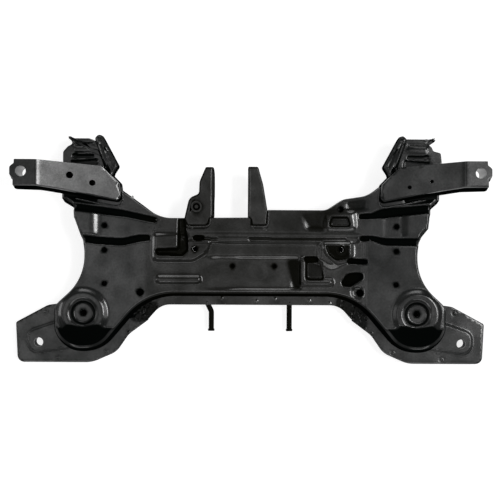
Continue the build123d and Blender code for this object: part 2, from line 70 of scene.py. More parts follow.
def shifted(points, out):
    """The outline moved outwards, with radii that grow or shrink to match."""
    turn_sum = sum(points[i - 1][0] * points[i][1] - points[i][0] * points[i - 1][1]
                   for i in range(len(points)))
    side = 1 if turn_sum > 0 else -1
    moved = []
    for i, (x, y, r) in enumerate(points):
        a, b = points[i - 1], points[(i + 1) % len(points)]
        u, v = (x - a[0], y - a[1]), (b[0] - x, b[1] - y)
        lu, lv = hypot(*u), hypot(*v)
        nu = (side * u[1] / lu, -side * u[0] / lu)
        nv = (side * v[1] / lv, -side * v[0] / lv)
        k = 1 + nu[0] * nv[0] + nu[1] * nv[1]
        turn = side * (u[0] * v[1] - u[1] * v[0])
        radius = max(r + out if turn > 0 else r - out, LEAST_RADIUS)
        moved.append((x + out * (nu[0] + nv[0]) / k, y + out * (nu[1] + nv[1]) / k, radius))
    return moved


def corner_arcs(points):
    """Centre, radius, start angle and sweep of every rounded corner."""
    arcs = []
    for i, (x, y, r) in enumerate(points):
        a, b = points[i - 1], points[(i + 1) % len(points)]
        la, lb = dist((x, y), a[:2]), dist((x, y), b[:2])
        u = ((a[0] - x) / la, (a[1] - y) / la)
        v = ((b[0] - x) / lb, (b[1] - y) / lb)
        half = acos(max(-1.0, min(1.0, u[0] * v[0] + u[1] * v[1]))) / 2
        w = (u[0] + v[0], u[1] + v[1])
        lw = hypot(*w)
        cx, cy = x + w[0] / lw * r / sin(half), y + w[1] / lw * r / sin(half)
        t = r / tan(half)
        start = atan2(y + u[1] * t - cy, x + u[0] * t - cx)
        sweep = (atan2(y + v[1] * t - cy, x + v[0] * t - cx) - start + pi) % (2 * pi) - pi
        arcs.append((cx, cy, r, start, sweep))
    return arcs


print("a triangle has", len(corner_arcs([(0, 0, 2), (20, 0, 2), (10, 20, 2)])), "arcs")

# %% [markdown]
# Every row has the same count of points, so two rows make a band of quads without any
# matching. The part is nearly the same on both sides, so most outlines are drawn for the
# left side and mirrored for the right one.


# %% Rows of points, blocks and mirrored outlines
def rings(points, outs, step):
    """One row of points for every outward shift; the rows match point by point."""
    base = corner_arcs(points)
    counts = []
    for i, (cx, cy, r, start, sweep) in enumerate(base):
        nx, ny, nr, nstart, _ = base[(i + 1) % len(base)]
        end = (cx + r * cos(start + sweep), cy + r * sin(start + sweep))
        follow = (nx + nr * cos(nstart), ny + nr * sin(nstart))
        on_arc = max(4, ceil(abs(sweep) * max(r, 4.0) / step))
        counts.append((on_arc, max(1, ceil(dist(end, follow) / step))))
    rows = []
    for out in outs:
        arcs = corner_arcs(shifted(points, out))
        row = []
        for i, (cx, cy, r, start, sweep) in enumerate(arcs):
            on_arc, on_line = counts[i]
            for j in range(on_arc + 1):
                angle = start + sweep * j / on_arc
                row.append((cx + r * cos(angle), cy + r * sin(angle)))
            nx, ny, nr, nstart, _ = arcs[(i + 1) % len(arcs)]
            end = row[-1]
            follow = (nx + nr * cos(nstart), ny + nr * sin(nstart))
            for j in range(1, on_line):
                k = j / on_line
                row.append((end[0] + (follow[0] - end[0]) * k, end[1] + (follow[1] - end[1]) * k))
        rows.append(np.array(row))
    return rows


def mirrored(points):
    return [(-x, y, r) for x, y, r in reversed(points)]


SIDES = ((1, "left"), (-1, "right"))


def sided(points, side):
    """The outline as drawn for the left side, or mirrored for the right one."""
    return points if side == 1 else mirrored(points)


def span(side, far, near, low, high):
    """Two corners of a grid on one side; far and near are distances from the middle."""
    return ((-far, low), (-near, high)) if side == 1 else ((near, low), (far, high))


def block(x0, y0, x1, y1, r):
    """The outline of a rectangle with equal corners."""
    return [(x0, y0, r), (x1, y0, r), (x1, y1, r), (x0, y1, r)]


print("a round square has", len(rings(block(0, 0, 20, 20, 4), [0], 3)[0]), "points")

# %% [markdown]
# A pressed panel is a surface of heights. It could be modelled face by face, or sculpted.
# Here the heights are kept on a fine grid: every form adds or takes a step of height
# inside its outline, and the step is blurred by the radius that the press leaves. That
# gives the soft, even bends of real pressings, and every form stays easy to change.


# %% Height fields
class Heights:
    """A grid of heights over a rectangle, with a second grid of how much shade is painted on the coat.
    """

    def __init__(self, low, high, level, pitch=1.0):
        self.low = np.array(low, float)
        self.pitch = pitch
        self.shape = tuple(int(ceil((high[k] - low[k]) / pitch)) + 1 for k in (1, 0))
        self.z = np.full(self.shape, float(level))
        self.shade_amount = np.zeros(self.shape)
        self.xs = self.low[0] + pitch * np.arange(self.shape[1])
        self.ys = self.low[1] + pitch * np.arange(self.shape[0])

    def window(self, low, high):
        """The part of the grid between two corners; it shares its heights with the whole."""
        part = object.__new__(Heights)
        i, j = (int(max(0, (low[k] - self.low[k]) // self.pitch)) for k in (0, 1))
        m, n = (int(max(0, (high[k] - self.low[k]) // self.pitch + 2)) for k in (0, 1))
        part.low = self.low + self.pitch * np.array([i, j])
        part.pitch, part.z, part.shade_amount = self.pitch, self.z[j:n, i:m], self.shade_amount[j:n, i:m]
        part.xs, part.ys = self.xs[i:m], self.ys[j:n]
        part.shape = part.z.shape
        return part

    def mask(self, points):
        """1 inside a closed row of points and 0 outside, found row by row."""
        filled = np.zeros(self.shape)
        ends = np.roll(points, -1, axis=0)
        for j, y in enumerate(self.ys):
            hit = (points[:, 1] > y) != (ends[:, 1] > y)
            a, b = points[hit], ends[hit]
            cuts = np.sort(a[:, 0] + (y - a[:, 1]) * (b[:, 0] - a[:, 0]) / (b[:, 1] - a[:, 1]))
            for left, right in zip(cuts[::2], cuts[1::2]):
                filled[j, (self.xs >= left) & (self.xs < right)] = 1.0
        return filled

    def blur(self, field, radius):
        """Spreads a grid evenly over a radius in millimetres."""
        reach = int(ceil(3 * radius / self.pitch))
        kernel = np.exp(-0.5 * (np.arange(-reach, reach + 1) * self.pitch / radius) ** 2)
        kernel /= kernel.sum()
        for axis in (0, 1):
            pad = [(reach, reach) if k == axis else (0, 0) for k in (0, 1)]
            wide = np.pad(field, pad, mode="edge")
            field = sum(weight * np.take(wide, range(i, i + field.shape[axis]), axis=axis)
                        for i, weight in enumerate(kernel))
        return field

    def step(self, outline, rise, radius=2.0, out=0.0, tilt=(0.0, 0.0), fade=None, shade_amount=0.0):
        """Raises or sinks the inside of an outline and rounds the wall.

        out moves the outline outwards.
        tilt slants the form: rise per millimetre along x and y, from the outline's middle.
        fade lets it grow from nothing at the first x to its full rise at the second.
        The last argument says how much shade is painted inside it, from 0 to 1, by taking the gloss
        away.
        """
        row = rings(outline, [out], 2.0)[0]
        low, high = row.min(axis=0), row.max(axis=0)
        mx, my = (low + high) / 2
        part = self.window(low - 4 * radius, high + 4 * radius)
        slant = tilt[0] * (part.xs[None, :] - mx) + tilt[1] * (part.ys[:, None] - my)
        form = part.mask(row) * (rise + slant)
        if fade:
            form *= np.clip((part.xs[None, :] - fade[0]) / (fade[1] - fade[0]), 0, 1)
        part.z += self.blur(form, radius)
        if shade_amount:
            spread = np.clip(1.6 * self.blur(part.mask(row), radius), 0, 1)
            part.shade_amount[:] = np.maximum(part.shade_amount, shade_amount * spread)

    def under(self, ceiling, radius):
        """Keeps the field under another one; the crease between them is rounded."""
        over = self.z > ceiling
        if over.any():
            near = self.blur(over.astype(float), radius * 1.5)
            low = np.minimum(self.z, ceiling)
            share = np.clip(near * 4, 0, 1)
            self.z = low * (1 - share) + self.blur(low, radius) * share

    def dish(self, place, profile, shade_amount=0.0):
        """Adds a turned form: pairs of distance from the place and rise."""
        far = np.hypot(self.xs[None, :] - place[0], self.ys[:, None] - place[1])
        reach, rise = zip(*profile)
        self.z += np.interp(far, reach, rise)
        self.shade_amount[:] = np.maximum(self.shade_amount, shade_amount * (far < reach[-1]))

    def at(self, points, grid=None):
        """Heights, or another grid's values, at any points between the grid's own."""
        points = np.asarray(points, float)
        u = np.clip((points[:, 0] - self.low[0]) / self.pitch, 0, self.shape[1] - 1.001)
        v = np.clip((points[:, 1] - self.low[1]) / self.pitch, 0, self.shape[0] - 1.001)
        i, j = u.astype(int), v.astype(int)
        fu, fv = u - i, v - j
        z = self.z if grid is None else grid
        return ((z[j, i] * (1 - fu) + z[j, i + 1] * fu) * (1 - fv)
                + (z[j + 1, i] * (1 - fu) + z[j + 1, i + 1] * fu) * fv)

    def painted_shade(self):
        """How much shade is painted at every grid point, by taking the gloss away: what the forms ask,
        and all steep walls.
        """
        gy, gx = np.gradient(self.z, self.pitch)
        return np.maximum(self.shade_amount, np.clip((np.hypot(gx, gy) - 0.9) / 0.6, 0, 1))

    def bend(self):
        """How strongly the field curves at every grid point."""
        gy, gx = np.gradient(self.z, self.pitch)
        return np.hypot(*np.gradient(gx, self.pitch)) + np.hypot(*np.gradient(gy, self.pitch))


trial = Heights((0, 0), (40, 40), 0.0)
trial.step(block(10, 10, 30, 30, 3), 2.0, 1.5)
print("a step of 2 mm reaches", round(float(trial.z.max()), 2), "mm")

# %% [markdown]
# The height grid becomes a mesh with few faces where it is flat and many where it bends.
# A plain grid of quads would need far more faces. Points are kept on three nested grids,
# the finest only where the field curves. Blender's constrained Delaunay triangulation
# joins them and keeps the edge and the holes exact.


# %% A mesh from a field of heights
HOLE_STEP = 1.3
SOFT_BEND = 0.004
SHARP_BEND = 0.03


def hole_row(place, width):
    """Points round a hole, evenly spaced."""
    n = max(16, int(pi * width / HOLE_STEP))
    turns = [2 * pi * i / n for i in range(n)]
    return np.array([(place[0] + width / 2 * cos(t), place[1] + width / 2 * sin(t)) for t in turns])


def inside(row, points):
    """True for the points that lie inside a closed row."""
    crossings = np.zeros(len(points), int)
    for (ax, ay), (bx, by) in zip(row, np.roll(row, -1, axis=0)):
        if ay != by:
            cut = ax + (points[:, 1] - ay) * (bx - ax) / (by - ay)
            crossings += ((ay > points[:, 1]) != (by > points[:, 1])) & (cut > points[:, 0])
    return crossings % 2 == 1


def cap_mesh(edge, holes, field, fine, calm):
    """Vertices and triangles inside the edge and outside the holes, at the field's heights.

    fine is the smallest space between points; calm blurs the bends that ask for them.
    """
    bend = field.blur(field.bend(), calm) if calm else field.bend()
    mask = field.mask(edge)
    for row in holes:
        mask *= 1 - field.mask(row)
    taken = []
    grids = ((fine * 4, -1.0, SOFT_BEND), (fine * 2, SOFT_BEND, SHARP_BEND), (fine, SHARP_BEND, 1e9))
    for space, least, most in grids:
        gx, gy = np.meshgrid(np.arange(field.low[0], field.xs[-1], space),
                             np.arange(field.low[1], field.ys[-1], space * 0.866))
        gx = gx + (np.arange(gx.shape[0]) % 2)[:, None] * space / 2
        points = np.column_stack([gx.ravel(), gy.ravel()])
        cells = ((points - field.low) / field.pitch).round().astype(int)
        i = np.clip(cells[:, 0], 0, field.shape[1] - 1)
        j = np.clip(cells[:, 1], 0, field.shape[0] - 1)
        value = bend[j, i]
        taken.append(points[(mask[j, i] > 0.5) & (value >= least) & (value < most)])
    inner = np.vstack(taken)
    fixed = np.vstack([edge] + list(holes))
    free = np.ones(len(inner), bool)
    for start in range(0, len(fixed), 200):
        apart = inner[:, None] - fixed[None, start:start + 200]
        free &= np.hypot(apart[..., 0], apart[..., 1]).min(axis=1) > fine * 0.6
    corners = [Vector(p) for p in np.vstack([fixed, inner[free]])]
    lines, first = [], 0
    for row in [edge] + list(holes):
        n = len(row)
        lines += [(first + i, first + (i + 1) % n) for i in range(n)]
        first += n
    verts, _, faces, *_ = delaunay_2d_cdt(corners, lines, [], 0, 1e-4)
    flat = np.array([(v.x, v.y) for v in verts])
    faces = np.array(faces)
    a, b, c = (flat[faces[:, k]] for k in (0, 1, 2))
    centres = (a + b + c) / 3
    wanted = inside(edge, centres)
    for row in holes:
        wanted &= ~inside(row, centres)
    area = (b[:, 0] - a[:, 0]) * (c[:, 1] - a[:, 1]) - (b[:, 1] - a[:, 1]) * (c[:, 0] - a[:, 0])
    faces[area < 0] = faces[area < 0][:, ::-1]
    kept = [tuple(int(k) for k in face) for face in faces[wanted]]
    return np.column_stack([flat, field.at(flat)]), kept


print("a 10 mm hole has", len(hole_row((0, 0), 10)), "points")

# %% [markdown]
# A press gives the sheet its shape, not its thickness, so the surface is made first and a
# Solidify modifier thickens it inwards. An attribute of painted shade travels with the
# points: where it is 1 the coat loses its gloss, so walls and hollows render dark.


# %% A sheet with thickness
FOLD_ANGLE = 38.0


def bake(obj):
    """Turns the modifiers into plain mesh."""
    ready = obj.evaluated_get(bpy.context.evaluated_depsgraph_get())
    mesh = bpy.data.meshes.new_from_object(ready)
    obj.modifiers.clear()
    obj.data = mesh
    mesh.name = obj.name


def sheet_object(name, verts, faces, painted_shade, thickness, merge=0.05):
    """Makes the mesh, merges doubled points, gives the sheet its thickness and shades it."""
    mesh = bpy.data.meshes.new(name)
    mesh.from_pydata([tuple(float(c) * MM for c in v) for v in verts], [], faces)
    layer = mesh.attributes.new("painted_shade", "FLOAT", "POINT")
    layer.data.foreach_set("value", np.array(painted_shade, np.float32))
    shell = bmesh.new()
    shell.from_mesh(mesh)
    bmesh.ops.remove_doubles(shell, verts=shell.verts, dist=merge * MM)
    bmesh.ops.dissolve_degenerate(shell, edges=shell.edges, dist=0.005 * MM)
    shell.to_mesh(mesh)
    shell.free()
    obj = bpy.data.objects.new(name, mesh)
    bpy.context.collection.objects.link(obj)
    if thickness:
        wall = obj.modifiers.new("Sheet", "SOLIDIFY")
        wall.thickness = thickness * MM
        wall.offset = -1.0
        bake(obj)
    obj.data.shade_smooth()
    obj.data.set_sharp_from_angle(angle=radians(FOLD_ANGLE))
    return obj


print("sheet", SHEET, "mm, folds over", FOLD_ANGLE, "degrees stay sharp")

# %% [markdown]
# A pressing has a cap and walls that roll over into it. The cap follows the height field.
# The walls are bands of quads between the shifted rows of the outline, from the foot up.


# %% A pressing with rolled walls
EDGE_STEP = 2.5


def pressed(name, outline, field, holes=(), roll=((0.0, 0.0),), foot=None, fine=1.6, calm=0.0,
            lean=None, thickness=SHEET):
    """A pressed sheet: rolled walls from the foot up to the cap, then the cap's heights.

    roll is pairs of inset and share of the way up; foot gives the height at the edge.
    lean, if given, takes places and outward directions and returns a factor for the insets.
    """
    rows = rings(outline, [-inset for inset, _ in roll], EDGE_STEP)
    if lean:
        base, inner = rings(outline, [0.0, -1.0], EDGE_STEP)
        outward = (base - inner) / np.hypot(*(base - inner).T)[:, None]
        factor = lean(base, outward)[:, None]
        rows = [base + (row - base) * factor for row in rows]
    edge = rows[-1]
    tops = field.at(edge)
    feet = np.array([foot(x, y) for x, y in rows[0]]) if foot else tops
    shade_amount = field.painted_shade()
    verts, faces = cap_mesh(edge, [hole_row(*hole) for hole in holes], field, fine, calm)
    painted_shade = list(field.at(verts[:, :2], shade_amount))
    verts = [tuple(v) for v in verts]
    n = len(edge)
    for k in range(len(roll) - 1):
        first = len(verts)
        for row, (_, share) in zip(rows[k:k + 2], roll[k:k + 2]):
            verts += [(x, y, z) for (x, y), z in zip(row, feet + (tops - feet) * share)]
            # The cap's edge row takes the field's painted shade; rows further down the wall get painted
            # shade, full below the top of the roll.
            if row is edge:
                painted_shade += list(field.at(row, shade_amount))
            else:
                painted_shade += [min(1.0, max(0.0, (0.985 - share) / 0.05))] * n
        faces += [(first + i, first + (i + 1) % n, first + n + (i + 1) % n, first + n + i)
                  for i in range(n)]
    return sheet_object(name, verts, faces, painted_shade, thickness)


print("a point every", EDGE_STEP, "mm along the edges")

# %% [markdown]
# The upper panel gives the part its look. Its outline runs round both side decks and the
# narrow middle. The middle is sunk below the decks, and pads, ribs, grooves and pockets
# stiffen it. The forms are steps in the height field, each with its own outline.

# %% The upper panel's outline
PANEL_SIDE = [
    (-371.5, 157, 5), (-371.5, 94.5, 9), (-348.5, 81, 10), (-347, 60, 20),
    (-309.5, -42, 101.5), (-386.5, -112, 12), (-386.5, -203, 53),
    (-294, -203, 73), (-200, -92, 113),
]
PANEL_RIGHT = mirrored(PANEL_SIDE)[:5] + [
    (337, 24, 8), (350, 40, 8), (352.5, 62, 20), (356, 81, 10), (371.5, 94.5, 9),
    (371.5, 157, 5),
]
PANEL_FRONT_RIGHT = [
    (283.8, 157, 5), (263, 133, 30), (231, 108.3, 60), (182, 100.9, 30),
    (149.5, 79.4, 30), (32, 79.4, 12), (18, 64.5, 4),
]
PANEL_FRONT_LEFT = [(-179, 62.5, 78), (-262, 122, 40), (-282.5, 155.7, 5)]
PANEL = PANEL_SIDE + PANEL_RIGHT + PANEL_FRONT_RIGHT + PANEL_FRONT_LEFT
print("the panel's outline has", len(PANEL), "corners")

# %% [markdown]
# The large steps come first, because everything else stands on them. Each has an outline,
# a rise, the radius of its bend and, where it grows out of the deck, the stretch of x in
# which it does so.

# %% The upper panel's large steps
panel_field = Heights((-400, -230), (400, 180), DECK)
BASIN_EDGE = [
    (-216, 29, 12), (-215, -44, 20), (-202, -66, 20), (-201, -150, 3), (222, -150, 3), (222, 29, 12),
]
large_steps = [
    # The sunk middle
    (BASIN_EDGE, BASIN - DECK, 3.4, (-204, -120)),
    # A lower band across the middle
    ([(-80, 14, 3), (-80, -14, 3), (137, -14, 3), (132, 14, 10)], -2, 2.6, (-70, -30)),
    # The deepest floor, behind the band
    ([(-100, -14, 5), (-100, -77, 8), (98, -77, 8), (98, -14, 5)], FLOOR - BASIN, 2.8, (-100, -20)),
    # The bar in front of the band
    ([(-120, 29, 2), (-120, 15, 3), (208, 15, 3), (222, 29, 2)], 3, 2.2, None),
    # The raised ends of both decks, and a low step on the right one
    (block(-400, 24, -300, 88, 3), 5.7, 6.2, None),
    (block(300, 24, 400, 88, 3), 1, 3.2, None),
    (block(210, 24, 260, 80, 3), 0.42, 1.5, None),
]
for outline, rise, radius, fade in large_steps:
    panel_field.step(outline, rise, radius, fade=fade)
print("large steps", len(large_steps))

# %% [markdown]
# The pads under the steering gear, the ribs and the frames stand up out of the sunk
# middle. A pad has a broad foot and a narrower top, so it is pressed in two stages. All
# their bends are softened by one factor, because the sheet is drawn up over them.

# %% Raised forms
DRAWN = 1.45
raised_forms = [
    # The left steering pad's foot and top
    ([(-188, 30, 6), (-188, -34, 10), (-104, -36, 20), (-64, -14, 16), (-64, 16, 12), (-100, 30, 20)],
     0.7, 2.8),
    ([(-188, 30, 6), (-188, -21, 6), (-112, -22, 26), (-86, -6, 22), (-76, 16.5, 4), (-124, 16.5, 3),
      (-140, 30, 3)], 4, 1.8),
    # The right steering pad's foot and top
    ([(133, 12, 14), (131, -16, 14), (158, -36, 16), (190, -18, 12), (199, -12, 6), (199, 14, 3)],
     3.4, 3),
    ([(139.5, 14.5, 4), (146, -8, 40), (166, -25, 14), (198, -19, 6), (198, 14.5, 3)], 3.6, 1.3),
    # The long rib on the left
    ([(-182, -51, 5), (-182, -65, 5), (-96, -65, 7), (-96, -51, 7)], 3.6, 1.6),
    # The frame with two arms on the right
    ([(97.5, -17, 3), (97.5, -69, 7), (164, -69, 7), (160, -57, 3), (109, -57, 3), (109, -17, 3)],
     4.6, 1.7),
    # The frame round the front pocket
    ([(147, 76, 5), (142, 42, 4), (206, 42, 4), (201, 76, 5)], 3, 2.8),
]
for outline, rise, radius in raised_forms:
    panel_field.step(outline, rise, DRAWN * radius)
print("raised forms", len(raised_forms))

# %% [markdown]
# Grooves, slots and pockets go down. After the outline come the rise, the bend's radius,
# the slant of the floor along x and y, and how much shade is painted there, where the coat
# loses its gloss. A slot is a deep hollow without gloss, which looks as dark as an opening.

# %% Sunk forms
sunk_forms = [
    # The bent groove beside the left steering pad
    ([(-139, 62, 3), (-139, 2, 4), (-184, 0, 3), (-182, -9, 4), (-132, -11, 12), (-122, 0, 8),
      (-125, 30, 8), (-129, 62, 3)], -9, 1.8, 0, 0.12, 0.9),
    # The rear and the front groove of the left deck
    ([(-340, 28, 3), (-340, 18, 3), (-300, 12, 30), (-250, 9, 30), (-214, 17, 20), (-196, 19, 3),
      (-196, 27, 3), (-214, 28, 20), (-250, 20, 30), (-300, 23, 30)], -8, 1.5, 0, 0.2, 1),
    ([(-355, 80, 3), (-263, 67, 60), (-243, 65, 40), (-184, 53, 3), (-182, 60.5, 3), (-214, 67.5, 40),
      (-254, 76, 60), (-355, 89.5, 3)], -8, 1.6, 0, 0, 1),
    # The front and the rear groove of the right deck
    ([(213, 62, 2.5), (262, 65, 40), (292, 69.5, 60), (358, 77.5, 3), (358, 89.5, 3), (310, 84.5, 60),
      (268, 81.5, 20), (252, 78.5, 20), (237, 71, 12), (213, 69.5, 2.5)], -8, 1.4, 0, 0.1, 1),
    ([(214, 28, 3), (216, 19, 4), (240, 20, 8), (262, 12, 20), (338, 11, 3), (338, 23, 3),
      (260, 23, 30), (234, 28, 10)], -8, 1.4, 0, 0.2, 1),
    # The slot in the bar, its shallow tail, and two shallow recesses beside it
    (block(-110, 20, -91, 27, 1.5), -12, 0.9, 0, 0, 1),
    ([(-93, 25, 1.5), (-93, 20, 1.5), (-64, 18, 1.5), (-64, 23, 1.5)], -3, 1.2, 0, 0.25, 0.6),
    (block(-3, 19, 40, 25, 2), -2, 1.2, 0, 0.2, 0.7),
    (block(38, 20.5, 187, 23.5, 1), -1.5, 0.9, 0, 0.2, 0.8),
    # The slanted hollow left of the front pocket, and the pocket
    ([(100, 74, 4), (112, 42, 4), (149, 42, 4), (149, 74, 4)], -1.5, 4, 0.03, 0.1, 0.75),
    ([(159, 65, 3), (153, 47, 3), (195, 47, 3), (189, 65, 3)], -8, 1.8, 0, 0.1, 0.5),
    # The hollow in the right steering pad
    ([(146, 9.5, 2), (152, -8, 30), (168, -19, 8), (193, -15, 3), (193, 9.5, 2)],
     -4.2, 1.2, 0, 0.12, 0.95),
    # The slanted hollow left of the frame, the frame's pocket and the slot in front of it
    ([(71, -18, 3), (77, -42, 8), (83, -76, 6), (99, -76, 3), (99, -18, 3)], -1.2, 4, 0, 0.06, 0.95),
    ([(110, -23, 3), (110, -56, 4), (143, -56, 3), (138, -23, 3)], -5, 1.6, 0, 0.12, 0.6),
    ([(105, -13.5, 2), (110, -24, 3), (134, -22, 3), (129, -13.5, 2)], -9, 1.2, 0, 0, 1),
    # The slot and the oval hollow on the right, both dark with painted shade
    ([(191, -16.5, 2.5), (190, -24, 2.5), (226, -26, 2.5), (228, -19, 2.5)], -12, 1.3, 0, 0.2, 1),
    ([(177, -67, 5), (196, -69, 8), (218, -54, 5), (217, -44, 4), (190, -46, 12)],
     -12, 1.6, 0, 0.3, 1),
    # Painted shade, shallow steps without gloss: a strip of the right deck, and round the feet of both
    # ears
    (block(293, 29, 305, 72, 3), -0.4, 2, 0, 0, 0.5),
    ([(-133, 66, 8), (-133, 42, 3), (-84, 42, 9), (-77, 50, 6), (-75, 66, 3)], -0.4, 0.8, 0, 0, 0.95),
    ([(-1, 66, 3), (0, 44, 3), (34, 44, 3), (36.5, 76, 3)], -0.4, 0.8, 0, 0, 0.95),
    # The hollow in front of the pocket, and the hollows under both arms, with painted shade
    ([(186, 94, 3), (226, 100, 3), (222, 80, 3), (190, 76, 3)], -1.5, 3, 0, 0.06, 0.75),
    ([(-380, 112, 3), (-380, 97, 3), (-300, 95, 9), (-300, 112, 3)], -3, 2.5, 0, 0, 0.95),
    ([(300, 112, 3), (300, 92, 9), (380, 97, 3), (380, 112, 3)], -3, 2.5, 0, 0, 0.95),
]
for outline, rise, radius, along_x, along_y, shade_amount in sunk_forms:
    panel_field.step(outline, rise, radius, 0.0, (along_x, along_y), shade_amount=shade_amount)
print("sunk forms", len(sunk_forms))

# %% [markdown]
# The cups are turned forms: a ring, a flat plateau, and a well with a hole in its floor.
# Behind each cup the deck ends in one plane slope, which cuts the back of the cup. The
# slope is a ceiling that the field is kept under, so the cup and the deck meet it alike.

# %% Cups, dimples and the slope behind the cups
CUPS = [(-325, -124), (325, -124)]
CUP_PROFILE = [
    (0, -6), (17, -6), (18.2, -5.6), (24.5, 2), (26, 3.3), (30.5, 4.85), (32, 5), (38, 5),
    (39, 4.85), (41.5, 4), (43, 3.3), (47.5, 1.2), (50, 0.35), (52.5, 0),
]
SLOPE_TOP = 68.0
SLOPE_RISE = 0.74
NO_CEILING = 100.0
for place in CUPS:
    panel_field.dish(place, CUP_PROFILE)
panel_field.dish((209, -82), [(0, -2.6), (8, -2.4), (13, -0.4), (16, 0)])
panel_field.dish((15, -42), [(0, -1), (10, -0.8), (22, 0)])
panel_field.dish((177, 1.5), [(0, 1.6), (8, 1.6), (10.5, 0)])
slope = SLOPE_TOP + (panel_field.ys + 150.0) * SLOPE_RISE
slope = np.where(panel_field.ys < -140.0, slope, NO_CEILING)[:, None] * np.ones(panel_field.shape)
slope[:, np.abs(panel_field.xs) < 225.0] = NO_CEILING
behind = panel_field.z > slope
panel_field.under(slope, 1.6)
# The slope behind the cups loses its gloss, which paints shade on it.
panel_field.shade_amount = np.maximum(panel_field.shade_amount, panel_field.blur(behind.astype(float), 1.0))
print("panel heights", round(panel_field.z.min(), 1), round(panel_field.z.max(), 1))

# %% [markdown]
# The panel's wall starts almost upright at the foot and rolls over into the deck. The
# pairs below are inset and share of the height; close pairs at the top make the roll. A
# ring without gloss round every hole is painted shade that keeps its rim dark.

# %% Press the upper panel
PANEL_ROLL = (
    (0.0, 0.0), (1.4, 0.25), (2.8, 0.5), (4.0, 0.68), (5.0, 0.8), (6.0, 0.88), (7.2, 0.935),
    (8.6, 0.97), (10.4, 0.985), (12.0, 1.0), (13.2, 1.0),
)
GEAR_HOLES = [(-108, 1.5), (177, 1.5)]
STABILISER_HOLES = [(-284, 46.5), (-284, -1.5), (284, 46.5), (284, -1.5)]
CENTRE_HOLES = [(-35, -31.5), (47, -31.5)]
panel_holes = [(place, 12) for place in GEAR_HOLES]
panel_holes += [(place, 13) for place in CUPS]
panel_holes += [(place, 10.5) for place in STABILISER_HOLES]
panel_holes += [(place, 9.2) for place in CENTRE_HOLES]
panel_holes += [
    ((-283.5, -66.5), 9.6), ((283.5, -66.5), 9.6), ((-214, -83), 14), ((214, -83), 13), ((175, 80), 11),
]
for place, width in panel_holes:
    panel_field.dish(place, [(0, 0), (width / 2 + 1.6, 0)], 1.0)


def panel_lean(places, outward):
    """Front and side walls stand steeper than the rear wall and the wall round the cups."""
    rear = np.clip(-outward[:, 1] / 0.6, 0, 1)
    sloping = np.maximum(rear, np.clip((-100.0 - places[:, 1]) / 30.0, 0, 0.8))
    inset = 0.021 * (places * outward).sum(axis=1) + 0.8
    slim = np.clip(inset / PANEL_ROLL[-1][0], 0.08, 1)
    return slim + (1 - slim) * sloping


upper_panel = pressed("upper_panel_skin", PANEL, panel_field, panel_holes, PANEL_ROLL,
                      lambda x, y: FLANGE + 0.2, fine=1.55, calm=1.2, lean=panel_lean)
print("upper panel", len(upper_panel.data.polygons), "faces")

# %% [markdown]
# The lower panel is a tray with a flange round it. It is one height field without rolled
# walls, because its own walls slope gently. Small round dishes along the flange are the
# marks that spot welds leave, and lumpy patches without gloss are painted shade.

# %% Press the lower panel
FLANGE_SIDE = [
    (-371.5, 157, 5), (-371.5, 94.5, 9), (-345.5, 81, 18), (-343.5, 64, 30),
    (-307, -42, 101.5), (-386.5, -112, 12), (-386.5, -203, 53),
    (-294, -203, 73), (-226, -122, 4), (-202, -138, 4), (-176, -109, 40),
]
TRAY_SIDE = [
    (-352, 138, 10), (-352, 104, 12), (-322, 58, 30), (-284, -42, 90),
    (-364, -122, 18), (-364, -181, 36), (-304, -181, 50), (-190, -70, 90),
]
TRAY_FRONT_RIGHT = [(266, 138, 10), (222, 88, 60), (120, 56, 50)]
TRAY_FRONT_LEFT = [(-160, 42, 60), (-266, 138, 10)]
FLANGE_FRONT_RIGHT = [(x, y - 2.8, r) for x, y, r in PANEL_FRONT_RIGHT]
FLANGE_FRONT_LEFT = [(x, y - 2, r) for x, y, r in PANEL_FRONT_LEFT]
FLANGE_EDGE = FLANGE_SIDE + mirrored(FLANGE_SIDE) + FLANGE_FRONT_RIGHT + FLANGE_FRONT_LEFT
TRAY = TRAY_SIDE + mirrored(TRAY_SIDE) + TRAY_FRONT_RIGHT + TRAY_FRONT_LEFT

tray_field = Heights((-400, -230), (400, 180), FLANGE)
tray_field.step(TRAY, SHEET - FLANGE, 4.0, -6.5)
tray_field.step([(-150, -58, 20), (150, -58, 20), (130, 20, 30), (-130, 20, 30)], 6.0, 2.5)
tray_holes = [(place, 34) for place in GEAR_HOLES] + [(place, 40) for place in CUPS]
tray_holes += [((-284, 24), 50), ((284, 24), 50), ((0, -20), 44)]
for place, width in tray_holes:
    tray_field.dish(place, [(0, 2.2), (width / 2 + 2, 2.2), (width / 2 + 6, 0)])
for place in ((-56, -96), (13, -101), (50, -97), (118, -100), (158, -105)):
    tray_field.dish(place, [(0, 1.1), (1.5, 0.9), (3, 0), (4.2, -0.4), (6, 0)])
PATCHES = ((-236, -184, -142, -103), (172, 232, -156, -93))
LUMPS = 220


def rough_patch(field, corners, seed):
    """A lumpy patch that loses most of its gloss, as painted shade; corners are x from and to, y from
    and to.
    """
    x0, x1, y0, y1 = corners
    scatter = np.random.default_rng(seed)
    for place in zip(scatter.uniform(x0, x1, LUMPS), scatter.uniform(y0, y1, LUMPS)):
        wide, high = scatter.uniform(1.8, 3.0), scatter.uniform(-1.1, 1.1)
        field.dish(place, [(0, high), (wide * 0.5, high * 0.7), (wide, 0)])
    field.step(block(x0, y0, x1, y1, 6), 0.0, 2.5, shade_amount=0.8)


for corners in PATCHES:
    rough_patch(tray_field, corners, 7)
lower_panel = pressed("lower_panel_skin", FLANGE_EDGE, tray_field, tray_holes, fine=2.2)
print("lower panel", len(lower_panel.data.polygons), "faces")

# %% [markdown]
# The corner plates lie flat on the flange. Each has a raised tongue round the hole of the
# rear body mount. The right one is the left one's outline mirrored.

